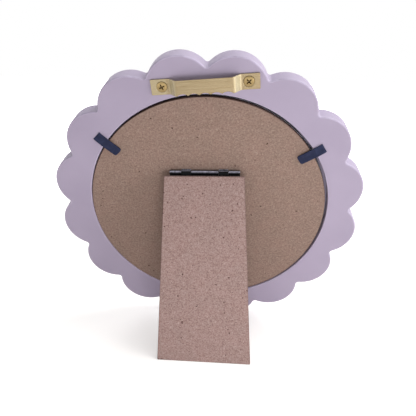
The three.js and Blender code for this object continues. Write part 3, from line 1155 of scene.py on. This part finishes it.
@dataclass(frozen=True)
class CrossScrew:
    """A countersunk screw with a cross recess, pointing to -z with its rim at z = 0."""

    head_radius: float
    shank_radius: float
    length: float
    recess_turn: float  # degrees
    dome_share: float = 0.2
    arm_share: float = 0.6  # length of the recess's arms, of the head's radius
    slot_share: float = 0.15  # half width of an arm
    recess_share: float = 0.3  # depth of the recess
    arm_taper: float = 0.3  # share of the half width lost at an arm's end
    floor_rise: float = 0.45  # share of the depth lost at an arm's end
    wall_slope: tuple[float, float] = (-0.02, 0.11)  # distances into an arm over which its wall falls
    wear_gain: float = 1.6  # how much faster than its depth the recess reaches full painted shade
    tip_share: float = 0.1  # radius of the tip, of the shank's
    tip_length: float = 1.5  # of the shank's radius
    pole_share: float = 0.02  # radius of the innermost ring, of the head's
    rim: float = 0.06
    columns: int = 160
    head_rows: int = 44

    def recess(self, places: Points) -> Points:
        """Depth of the cross recess at places on the head.

        The distance into the nearer of two crossed bars, which narrow outwards, makes a slope at the
        walls of the recess; its floor rises away from the middle.

        Args:
            places: Places on the head, shaped (..., 2).

        Returns:
            Depth at each place.
        """
        direction = turn(self.recess_turn)
        along = np.abs(places @ direction)
        across = np.abs(places @ np.array([-direction[1], direction[0]]))
        arm = self.arm_share * self.head_radius
        slot = self.slot_share * self.head_radius
        longer, shorter = np.maximum(along, across), np.minimum(along, across)
        wall = np.minimum(slot * (1.0 - self.arm_taper * longer / arm) - shorter, arm - longer)
        floor = self.recess_share * self.head_radius * (1.0 - self.floor_rise * longer / arm)
        return floor * smooth_step(*self.wall_slope, wall / self.head_radius)

    def shell(self) -> Shell:
        """The head's dome less its recess, then its cone, shank and tip, turned about z.

        Returns:
            The screw as a closed surface.
        """
        head, shank = self.head_radius, self.shank_radius
        radii = np.linspace(self.pole_share, 1.0, self.head_rows) * (head - self.rim)
        dome = self.dome_share * head * (1.0 - (radii / head) ** 2)
        crown = np.stack([radii, dome], axis=-1)
        below = np.array([
            [head, -self.rim],
            [head - self.rim, -2 * self.rim],
            [shank, shank - head],
            [shank, self.tip_length * shank - self.length],
            [self.tip_share * shank, -self.length],
        ])
        screw = revolved(np.concatenate([crown, below]), self.columns)
        on_head = screw.points[:, 2] > 0.0
        hollow = np.where(on_head, self.recess(screw.points[:, :2]), 0.0)
        sunk = screw.points - hollow[:, None] * np.array([0.0, 0.0, 1.0])
        # The mask follows the recess's depth, and the brass screws' finish paints it as shade.
        depth = hollow / (self.recess_share * head)
        return replace(screw, points=sunk, wear=np.clip(self.wear_gain * depth, 0.0, 1.0))


@dataclass(frozen=True)
class SawtoothHanger(SubAssembly):
    """Brass strip with a raised, toothed middle and a screw at each end."""

    length: float = 61.5
    width: float = 9.0
    thickness: float = 0.8
    seat_gap: float = 0.3
    rise: float = 4.6
    raised_length: float = 30.6
    ramp_length: float = 5.6
    corner_radius: float = 0.5
    edge: float = 0.13
    gullet_count: int = 5
    gullet_pitch: float = 6.3
    gullet_depth: float = 1.2
    screw_pitch: float = 49.0
    screw_length: float = 8.0
    screw_radius: float = 1.5
    head_radius: float = 3.0
    dimple_radius: float = 3.5
    dimple_depth: float = 0.26
    recess_turns: tuple[float, float] = (22.0, 40.0)  # of the left and the right screw, in degrees
    end_wear: float = 0.3  # painted highlight on the left end
    end_fade: float = 2.0  # length from the foot of the ramp over which that painted highlight sets in
    head_overlap: float = 0.1  # how far a screw's head covers the rising side of its dish
    station_gap: float = 0.14
    end_stations: tuple[int, int] = (9, 5)  # at each end, for the corners and for the edge
    columns: int = 62

    def stations(self) -> Points:
        """Places along the strip: evenly spaced, closer at the ends, and one at each tooth's point.

        Returns:
            The places, in order.
        """
        half = self.length / 2
        even = np.linspace(-half, half, round(self.length / self.station_gap))
        corner, edge = self.end_stations
        ease = half - self.corner_radius * (1 - np.cos(np.linspace(0.0, np.pi / 2, corner)))
        nose = half - self.edge * (1 - np.cos(np.linspace(0.0, np.pi / 2, edge)))
        teeth = (np.arange(self.gullet_count + 1) - self.gullet_count / 2) * self.gullet_pitch
        places = np.concatenate([even, ease, -ease, nose, -nose, teeth])
        return np.unique(places.round(4))

    def lift(self, x: Points) -> Points:
        """How far the strip is raised, from 0 to 1: half a cosine wave up each ramp."""
        out = (np.abs(x) - self.raised_length / 2) / self.ramp_length
        return (1.0 + np.cos(np.pi * np.clip(out, 0.0, 1.0))) / 2

    def gullets(self, x: Points) -> Points:
        """How far the toothed edge is cut in.

        Each gullet is an arc of the radius whose chord is the pitch and whose height is the depth, and
        neighbouring arcs meet in the point of a tooth.

        Args:
            x: Places along the strip.

        Returns:
            Depth of the cut at each place.
        """
        half = self.gullet_pitch / 2
        radius = (half**2 + self.gullet_depth**2) / (2 * self.gullet_depth)
        off = (x / self.gullet_pitch + self.gullet_count / 2) % 1.0 - 0.5
        depth = np.sqrt(radius**2 - (off * self.gullet_pitch) ** 2) - radius + self.gullet_depth
        inside = np.abs(x) <= self.gullet_count * half + 1e-6
        return np.where(inside, depth, 0.0)

    def strip(self) -> Shell:
        """The strip: one section along the bent path, cut back at the teeth and dished at the screws.

        Across the width, points below the upper third move up by the gullet's depth, in proportion. On
        the upper side, points near a screw sink into a ring-shaped dish. A painted highlight lies on the
        ramps, most where they are half way up, and a little on the left end.

        Returns:
            The strip as a closed surface.
        """
        x = self.stations()
        lift = self.lift(x)
        heights = self.seat_gap + self.thickness / 2 + self.rise * lift
        path = np.stack([x, np.zeros_like(x), heights], axis=-1)
        section = strip_section(self.width, self.thickness, self.edge, self.columns)
        from_end = self.length / 2 - np.abs(x)
        half = self.width / 2
        narrow = 1.0 - quarter_drop(from_end, self.corner_radius) / half
        flatten = 1.0 - quarter_drop(from_end, self.edge) / (self.thickness / 2)
        across, up = section[:, 0], section[:, 1]
        pivot = half / 3
        share = np.clip((pivot - across) / (pivot + half), 0.0, 1.0)
        wide = across * narrow[:, None] + self.gullets(x)[:, None] * share
        high = up * flatten[:, None]
        nearest = np.abs(np.abs(x)[:, None] - self.screw_pitch / 2)
        distance = np.hypot(nearest, wide)
        covered = self.head_radius - self.head_overlap
        dish = self.dimple_depth * (1.0 - smooth_step(covered, self.dimple_radius, distance))
        high = high - np.where(up > 0.0, dish, 0.0)
        foot = self.raised_length / 2 + self.ramp_length
        # Painted highlight: most halfway up each ramp, and a little on the left end.
        wear = 4.0 * lift * (1.0 - lift) + self.end_wear * smooth_step(foot, foot + self.end_fade, -x)
        return ribbon(path, np.array([0.0, 1.0, 0.0]), np.stack([wide, high], axis=-1), wear)

    def build(self, places: Places) -> Iterator[Piece]:
        """The strip and its two screws.

        Args:
            places: Placements of the sub-assemblies.

        Returns:
            The pieces, one at a time.
        """
        strip = self.strip()
        yield add_piece("brass_sawtooth_strip", [strip], places.hanger, BRASS_SHEET, "sawtooth_hanger")
        top = self.seat_gap + self.thickness
        for side, recess_turn in zip(Side, self.recess_turns):
            screw = CrossScrew(self.head_radius, self.screw_radius, self.screw_length, recess_turn)
            place = places.hanger.moved(side.value * self.screw_pitch / 2, 0.0, top)
            name = f"brass_screw_{side.word}"
            yield add_piece(name, [screw.shell()], place, BRASS_SCREW, f"hanger_screw_{side.word}")


@dataclass(frozen=True)
class RetainingTab(SubAssembly):
    """A soft steel tab: a blade that bends at its crease, and the stake driven into the moulding."""

    side: Side
    notch: float  # how far the middle of the crease lies in from its ends
    length: float = 17.0
    width: float = 6.0
    thickness: float = 0.6
    seat_gap: float = 0.3
    level_length: float = 6.2
    board_drop: float = 1.0
    bend_length: float = 2.4
    curl_length: float = 1.5
    curl_drop: float = 0.42
    corner_radius: float = 1.4
    edge: float = 0.12
    stake_depth: float = 4.0
    stake_corner: float = 0.1
    stake_edge: float = 0.08
    curl_stations: int = 16
    blade_stations: int = 70
    tip_stations: int = 14
    columns: int = 24

    def heights(self, x: Points) -> Points:
        """Middle of the blade above the moulding's back.

        It dips in a quarter wave to the crease, runs level over the moulding and slopes down to the
        board; the integral of a smooth step from level to slope rounds the bend.

        Args:
            x: Places along the blade.

        Returns:
            Height at each place.
        """
        level = self.seat_gap + self.thickness / 2
        slope = self.board_drop / (self.length - self.level_length)
        past = np.clip((x - self.level_length) / self.bend_length + 0.5, 0.0, None)
        soft = np.where(past < 1.0, past**2 / 2, past - 0.5)
        dip = 1.0 - np.sin(np.clip(x / self.curl_length, 0.0, 1.0) * np.pi / 2)
        return level - slope * self.bend_length * soft - self.curl_drop * dip

    def blade(self) -> Shell:
        """The blade: a section along the bent path, drawn in round the tip's corners.

        Points of the first stretch move inwards by the notch, most in the middle of the width.

        Returns:
            The blade as a closed surface.
        """
        curl = np.linspace(0.0, self.curl_length, self.curl_stations)
        even = np.linspace(0.0, self.length, self.blade_stations)
        angles = np.linspace(0.0, np.pi / 2, self.tip_stations)
        ease = self.length - self.corner_radius * (1 - np.cos(angles))
        x = np.unique(np.concatenate([curl, even, ease]).round(4))
        path = np.stack([x, np.zeros_like(x), self.heights(x)], axis=-1)
        section = strip_section(self.width, self.thickness, self.edge, self.columns)
        narrow = 1.0 - quarter_drop(self.length - x, self.corner_radius) / (self.width / 2)
        sections = np.stack([
            section[:, 0] * narrow[:, None],
            np.broadcast_to(section[:, 1], (len(x), len(section))),
        ], axis=-1)
        blade = ribbon(path, np.array([0.0, 1.0, 0.0]), sections)
        middle = 1.0 - (2.0 * blade.points[:, 1] / self.width) ** 2
        fade = 1.0 - smooth_step(0.0, 2.0 * self.curl_length, blade.points[:, 0])
        shift = self.notch * middle * fade
        return replace(blade, points=blade.points + shift[:, None] * np.array([1.0, 0.0, 0.0]))

    def stake(self) -> Shell:
        """The stake: a thin plate standing in the moulding up to just under the blade.

        Returns:
            The stake as a closed surface.
        """
        corners = rectangle(0.0, self.thickness, -self.width / 2, self.width / 2)
        top = self.seat_gap + self.thickness / 2 - self.curl_drop
        return panel(corners, self.stake_corner, (-self.stake_depth, top), self.stake_edge)

    def build(self, places: Places) -> Iterator[Piece]:
        """The blade and its stake.

        Args:
            places: Placements of the sub-assemblies.

        Returns:
            The pieces, one at a time.
        """
        word = self.side.word
        place = places.tabs[self.side].moved(z=-self.seat_gap - self.thickness / 2)
        yield add_piece(f"tab_blade_{word}", [self.blade()], place, NAVY_LACQUER, f"retaining_tab_{word}")
        yield add_piece(f"tab_root_{word}", [self.stake()], place, NAVY_LACQUER, f"tab_stake_{word}")


@dataclass(frozen=True)
class StopHinge(SubAssembly):
    """Two leaves whose knuckles are curled round a pin, with lips that stop the leg."""

    barrel_radius: float = 1.7
    sheet: float = 0.8
    running_gap: float = 0.3
    leaf_width: float = 16.0
    leaf_corner: float = 2.0
    end_knuckle: float = 7.2
    leg_knuckle: float = 5.8
    middle_knuckle: float = 16.9
    curl_end: float = -24.0  # degrees past the leaf at which the curled sheet ends
    board_crown: tuple[float, float] = (62.0, 20.0)  # angle of the painted highlight along a knuckle's crown, and its spread
    leg_crown: tuple[float, float] = (84.0, 9.0)
    stop_reach: float = 0.6
    edge: float = 0.14
    screw_spacing: float = 24.0
    screw_drop: float = 10.0
    screw_radius: float = 0.9
    screw_head_radius: float = 1.8
    board_screw_length: float = 2.6
    leg_screw_length: float = 4.0
    recess_turn: float = 12.0
    open_angle: float = 26.5
    cut_corner: float = 0.2  # of the leaves at the barrel, and of the lips
    pin_dome: float = 0.25
    pin_columns: int = 40
    run_stations: int = 6
    curl_stations: int = 60

    @property
    def bore_radius(self) -> float:
        """Radius inside the curled sheet."""
        return self.barrel_radius - self.sheet

    @property
    def leg_knuckle_centre(self) -> float:
        """Distance of the leg's knuckles from the middle of the barrel."""
        return (self.middle_knuckle + self.leg_knuckle) / 2 + self.running_gap

    @property
    def end_knuckle_centre(self) -> float:
        """Distance of the outer knuckles from the middle of the barrel."""
        return self.leg_knuckle_centre + (self.leg_knuckle + self.end_knuckle) / 2 + self.running_gap

    @property
    def barrel_length(self) -> float:
        """Length over all five knuckles."""
        return 2 * self.end_knuckle_centre + self.end_knuckle

    def knuckle(self, face: int, centre: float, length: float) -> Shell:
        """A knuckle: sheet that runs up from its leaf and curls once round the pin.

        The path is a straight run to below the axis and then an arc of the sheet's middle radius. A
        painted highlight lies along one line of the crown, by a bell curve of the angle from it.

        Args:
            face: 1 for a leaf on the leg, and -1 for one on the board.
            centre: Middle of the knuckle along the axis.
            length: Length of the knuckle.

        Returns:
            The knuckle as a closed surface.
        """
        middle = self.barrel_radius - self.sheet / 2
        run = np.linspace(-self.barrel_radius - self.running_gap, 0.0, self.run_stations, endpoint=False)
        angles = np.linspace(270.0, self.curl_end, self.curl_stations)
        curl = middle * turn(angles) * np.array([-1.0, 1.0])
        flat = np.concatenate([np.stack([run, np.full_like(run, -middle)], axis=-1), curl])
        path = np.stack([np.full(len(flat), centre), flat[:, 0], -face * flat[:, 1]], axis=-1)
        section = strip_section(length, self.sheet, self.edge, 0)
        crown, spread = self.leg_crown if face > 0 else self.board_crown
        lean = self.open_angle if face > 0 else 0.0
        aimed = np.degrees(np.arctan2(path[:, 1], path[:, 2])) - crown + lean
        wear = np.exp(-((aimed / spread) ** 2))
        return ribbon(path, np.array([1.0, 0.0, 0.0]), section, wear)

    def plate(self, face: int) -> Shell:
        """A leaf's flat plate, with its two lower corners rounded.

        Args:
            face: 1 for a leaf on the leg, and -1 for one on the board.

        Returns:
            The plate as a closed surface.
        """
        half = self.barrel_length / 2
        corners = rectangle(-half, half, -self.leaf_width, -self.barrel_radius - self.running_gap)
        radii = np.array([self.cut_corner, self.cut_corner, self.leaf_corner, self.leaf_corner])
        span = sorted((face * self.bore_radius, face * self.barrel_radius))
        return panel(corners, radii, tuple(span), self.edge)

    def stop_lip(self, centre: float) -> Shell:
        """The lip along a leg knuckle, which comes down to the board when the leg is open.

        Args:
            centre: Middle of the knuckle along the axis.

        Returns:
            The lip as a closed surface in the leg's drawing.
        """
        half, tip = self.sheet / 2, self.barrel_radius + self.stop_reach
        root = self.bore_radius + half
        dip = math.degrees(math.asin(self.barrel_radius / math.hypot(tip, half)) - math.atan2(half, tip))
        left, right = (centre + side.value * self.leg_knuckle / 2 for side in Side)
        lip = panel(rectangle(left, right, root, tip), self.cut_corner, (-half, half), self.edge)
        tilted = Placement(np.zeros(3), np.eye(3)).turned(Axis.X, self.open_angle - dip)
        return replace(lip, points=lip.points @ tilted.axes)

    def pin(self) -> Shell:
        """The pin, with its two ends slightly domed, drawn along z.

        Returns:
            The pin as a closed surface.
        """
        radius, half = self.bore_radius - self.running_gap, self.barrel_length / 2
        angles = np.linspace(0.0, np.pi / 2, CORNER_STEPS + 1)
        pole = 0.01  # radius of the innermost ring
        radii = radius * np.sin(angles) + pole
        dome = np.stack([radii, half - self.pin_dome * (1 - np.cos(angles))], axis=-1)
        return revolved(np.concatenate([dome, dome[::-1] * np.array([1.0, -1.0])]), self.pin_columns)

    def build(self, places: Places) -> Iterator[Piece]:
        """Both leaves, the pin and the four small screws.

        Args:
            places: Placements of the sub-assemblies.

        Returns:
            The pieces, one at a time.
        """
        board_leaf = [self.plate(-1), self.knuckle(-1, 0.0, self.middle_knuckle)]
        leg_leaf = [self.plate(1)]
        for side in Side:
            at_end, on_leg = side.value * self.end_knuckle_centre, side.value * self.leg_knuckle_centre
            board_leaf.append(self.knuckle(-1, at_end, self.end_knuckle))
            leg_leaf += [self.knuckle(1, on_leg, self.leg_knuckle), self.stop_lip(on_leg)]
        yield add_piece("hinge_leaf_on_board", board_leaf, places.hinge, BLACK_PAINT, "hinge_leaf_board")
        yield add_piece("hinge_leaf_on_leg", leg_leaf, places.leg, BLACK_PAINT, "hinge_leaf_leg")
        along = places.hinge.turned(Axis.Y, 90.0)
        yield add_piece("hinge_rod", [self.pin()], along, PLAIN_STEEL, "hinge_pin")
        for side in Side:
            offset = side.value * self.screw_spacing / 2
            on_board = places.hinge.moved(offset, -self.screw_drop, -self.bore_radius)
            on_leg = places.leg.moved(offset, -self.screw_drop, self.bore_radius).turned(Axis.Y, 180.0)
            for word, place, length in (
                ("board", on_board, self.board_screw_length),
                ("leg", on_leg, self.leg_screw_length),
            ):
                screw = CrossScrew(self.screw_head_radius, self.screw_radius, length, self.recess_turn)
                name, node = (f"{kind}_screw_{word}_{side.word}" for kind in ("small", "hinge"))
                yield add_piece(name, [screw.shell()], place, PLAIN_STEEL, node)


@dataclass(frozen=True)
class EaselLeg(SubAssembly):
    """The tapered fibreboard leg, with its foot cut level with the ground."""

    top_width: float = 49.5
    foot_width: float = 60.3
    length: float = 120.0
    top_drop: float = 1.6
    corner_radius: float = 0.5
    corner_steps: int = 5
    edge: float = 0.35

    def foot_height(self, place: Placement, x: Points, z: Points) -> Points:
        """Where the ground, height 0 in the shared frame, cuts the leg: the y that solves the plane."""
        slopes = place.axes[:, 2]
        return -(place.origin[2] / MILLIMETRE + slopes[0] * x + slopes[2] * z) / slopes[1]

    def shell(self, place: Placement) -> Shell:
        """The leg: a four-sided outline at each height through its thickness.

        The sides widen in proportion to the distance below the upper end, and each lower corner lies
        where its side meets the ground, found by one step of correction from the foot's width.

        Args:
            place: Placement of the open leg.

        Returns:
            The leg as a closed surface.
        """
        low, high = place.extent("easel_leg")
        inward, heights, wear = eased_rows(low[2], high[2], self.edge)
        flare = (self.foot_width - self.top_width) / 2 / self.length
        top = np.full_like(heights, -self.top_drop)
        half = np.full_like(heights, self.top_width / 2)
        corners = [np.stack([side.value * half, top], axis=-1) for side in Side]
        for side in reversed(Side):
            x = np.full_like(heights, side.value * self.foot_width / 2)
            y = self.foot_height(place, x, heights)
            x = side.value * (self.top_width / 2 - flare * (y + self.top_drop))
            corners.append(np.stack([x, self.foot_height(place, x, heights)], axis=-1))
        outlines = rounded(inset(np.stack(corners, axis=1), inward), self.corner_radius, self.corner_steps)
        return stacked(outlines, heights, Ends.CAPPED, wear)

    def build(self, places: Places) -> Iterator[Piece]:
        """The leg."""
        yield add_piece("fibre_easel_leg", [self.shell(places.leg)], places.leg, LEG_FACE, "easel_leg")


# Stage, light and camera


@dataclass(frozen=True)
class SoftBox:
    """A square area lamp that looks at the middle of the frame.

    Attributes:
        name: Name of the lamp.
        direction: Direction from the frame to the lamp.
        distance: Distance from the frame, in metres.
        size: Length of the lamp's sides, in metres.
        level: Irradiance on a surface that faces the lamp, over pi, so that 1 shows a colour as written.
        mirrored: Whether the lamp is seen in reflections.
    """

    name: str
    direction: tuple[float, float, float]
    distance: float
    size: float
    level: float
    mirrored: bool = True

    def build(self, centre: Points) -> Piece:
        """Adds the lamp, hidden from the camera.

        A surface that faces a lamp of power P at a distance d gets P / (π d²), of which a matt white one
        shows 1 / π, so the power is the level times π² d².

        Args:
            centre: Point that the lamp looks at.

        Returns:
            The lamp's object.
        """
        lamp = bpy.data.lights.new(self.name, "AREA")
        lamp.size = self.size
        lamp.energy = self.level * math.pi**2 * self.distance**2
        back = unit(np.array(self.direction))
        box = bpy.data.objects.new(self.name, lamp)
        box.matrix_world = looking_along(centre + self.distance * back, back, 0.0)
        box.visible_camera = False
        box.visible_glossy = self.mirrored
        bpy.context.scene.collection.objects.link(box)
        return box


def looking_along(eye: Points, back: Points, roll: float) -> Matrix:
    """Matrix of a lamp or camera at a point, with its back to a direction and upright before it rolls.

    Args:
        eye: Place, in metres.
        back: Unit direction away from what it looks at.
        roll: Turn about its own line of sight, in degrees.

    Returns:
        The object's matrix.
    """
    up = np.array([0.0, 0.0, 1.0]) if abs(back[2]) < NEARLY_UPRIGHT else np.array([0.0, 1.0, 0.0])
    right = unit(np.cross(up, back))
    view = Placement(eye, np.stack([right, np.cross(back, right), back])).turned(Axis.Z, roll)
    matrix = np.eye(4)
    matrix[:3, :3], matrix[:3, 3] = view.axes.T, view.origin
    return Matrix(matrix.tolist())


@dataclass(frozen=True)
class Studio:
    """A pale floor, a white surround and soft boxes.

    Attributes:
        floor_half: Half the length of the floor's sides, in metres.
        floor_drop: How far the floor lies below the ground height, in metres.
        floor_colour: Colour of the floor in the light that it throws back.
        floor_tone: A second colour, in clouds.
        cloud_grain: Size of those clouds, in metres.
        floor_glow: Light of its own that the floor shows near the frame and far away from it.
        glow_reach: Distances, in metres, between which that light rises.
        ambient: Level of the even light from all round.
        boxes: The lamps.
    """

    floor_half: float = 4.0
    floor_drop: float = 0.0001
    floor_colour: Colour = (234, 231, 228)
    floor_tone: Colour = (230, 227, 224)
    cloud_grain: float = 0.4
    floor_glow: tuple[float, float] = (0.48, 1.7)
    glow_reach: tuple[float, float] = (0.34, 0.7)
    ambient: float = 0.33
    boxes: tuple[SoftBox, ...] = (
        SoftBox("key_box", (-0.90, 0.42, 0.04), 0.8, 0.4, 0.38),
        SoftBox("low_box", (-0.17, 0.97, -0.14), 0.3, 0.12, 0.31, mirrored=False),
        SoftBox("overhead_box", (-0.62, -0.02, 0.9), 0.85, 0.8, 0.96),
        SoftBox("front_box", (0.35, -0.85, 0.5), 1.1, 0.7, 0.4, mirrored=False),
    )

    def seen_rays(self, graph: ShaderGraph) -> Socket:
        """Tells the rays that show the surround: from the camera, in reflections and through glass.

        Args:
            graph: Graph to add the nodes to.

        Returns:
            1 for such a ray, and 0 for the others.
        """
        path = graph.add("LightPath").outputs
        seen = graph.math("MAXIMUM", path["Is Camera Ray"], path["Is Glossy Ray"])
        return graph.math("MAXIMUM", seen, path["Is Transmission Ray"])

    def floor(self) -> Piece:
        """A flat floor that takes the shadow and otherwise shows white.

        Returns:
            The floor's object.
        """
        material = bpy.data.materials.new("pale_floor")
        material.use_nodes = True
        graph = ShaderGraph(material.node_tree)
        coords = graph.add("TexCoord").outputs["Object"]
        clouds = graph.noise(coords, self.cloud_grain)
        colour = graph.toned(clouds, (0.3, 0.7), 1.0, self.floor_colour, self.floor_tone)
        matt = graph.add("BsdfDiffuse", {"Color": colour})
        level = graph.span(graph.radius(coords), self.glow_reach, self.floor_glow)
        glow = graph.add("Emission", {"Strength": graph.math("MULTIPLY", self.seen_rays(graph), level)})
        both = graph.add("AddShader", {0: matt.outputs[0], 1: glow.outputs[0]})
        graph.add("OutputMaterial", {"Surface": both.outputs[0]})
        corners = self.floor_half * rectangle(-1.0, 1.0, -1.0, 1.0)
        mesh = bpy.data.meshes.new("pale_floor")
        points = np.concatenate([corners, np.full((4, 1), -self.floor_drop)], axis=-1)
        mesh.from_pydata(points.tolist(), [], [[0, 1, 2, 3]])
        mesh.materials.append(material)
        floor = bpy.data.objects.new("pale_floor", mesh)
        bpy.context.scene.collection.objects.link(floor)
        floor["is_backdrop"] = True
        return floor

    def surround(self) -> None:
        """A world that shows white and lights evenly at the ambient level."""
        world = bpy.data.worlds.new("white_surround")
        world.use_nodes = True
        graph = ShaderGraph(world.node_tree)
        level = graph.span(self.seen_rays(graph), (0.0, 1.0), (self.ambient, 1.0))
        white = graph.add("Background", {"Color": linear((255, 255, 255)), "Strength": level})
        graph.add("OutputWorld", {"Surface": white.outputs[0]})
        bpy.context.scene.world = world

    def build(self, places: Places) -> None:
        """The floor, the surround and the lamps, with colours shown as they are written.

        Args:
            places: Placements of the sub-assemblies.
        """
        self.floor()
        self.surround()
        for box in self.boxes:
            box.build(places.drawing.origin)
        bpy.context.scene.view_settings.view_transform = "Standard"


@dataclass(frozen=True)
class PhotoCamera:
    """The camera at the photograph's angle, in the moulding's drawing, in millimetres and degrees."""

    eye: tuple[float, float, float] = (17.63, 172.74, 255.75)
    aim: tuple[float, float, float] = (0.51, -1.34, 0.0)
    roll: float = 0.81
    lens: float = 40.62
    sensor: float = 36.0
    clip: tuple[float, float] = (0.01, 20.0)  # metres

    def build(self, places: Places) -> Piece:
        """Adds the camera and makes it the scene's.

        Args:
            places: Placements of the sub-assemblies.

        Returns:
            The camera's object.
        """
        lens = bpy.data.cameras.new("photo_camera")
        lens.lens, lens.sensor_width = self.lens, self.sensor
        lens.clip_start, lens.clip_end = self.clip
        eye, aim = (places.drawing.to_world(np.array(point)) for point in (self.eye, self.aim))
        camera = bpy.data.objects.new("photo_camera", lens)
        camera.matrix_world = looking_along(eye, unit(eye - aim), self.roll)
        bpy.context.scene.collection.objects.link(camera)
        bpy.context.scene.camera = camera
        return camera


def write_sizes() -> None:
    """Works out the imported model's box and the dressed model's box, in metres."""
    bpy.context.view_layer.update()
    boxes = {"cad": CAD_BOX, "visual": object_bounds()}
    {name: [list(corner) for corner in box] for name, box in boxes.items()}


def main() -> None:
    """Builds the camera, the sub-assemblies and the studio in order, and reports each piece."""
    logging.basicConfig(level=logging.INFO, format="%(name)s: %(message)s")
    places = Places.from_frame()
    PhotoCamera().build(places)
    assemblies: tuple[SubAssembly, ...] = (
        Moulding(),
        RebateStack(),
        SawtoothHanger(),
        RetainingTab(Side.LEFT, notch=0.5),
        RetainingTab(Side.RIGHT, notch=0.0),
        StopHinge(),
        EaselLeg(),
    )
    for assembly in assemblies:
        for piece in assembly.build(places):
            finish = piece.data.materials[0].name
            LOG.info("%s: %d faces in %s", piece.name, len(piece.data.polygons), finish)
    Studio().build(places)
    write_sizes()


if __name__ == "__main__":
    main()
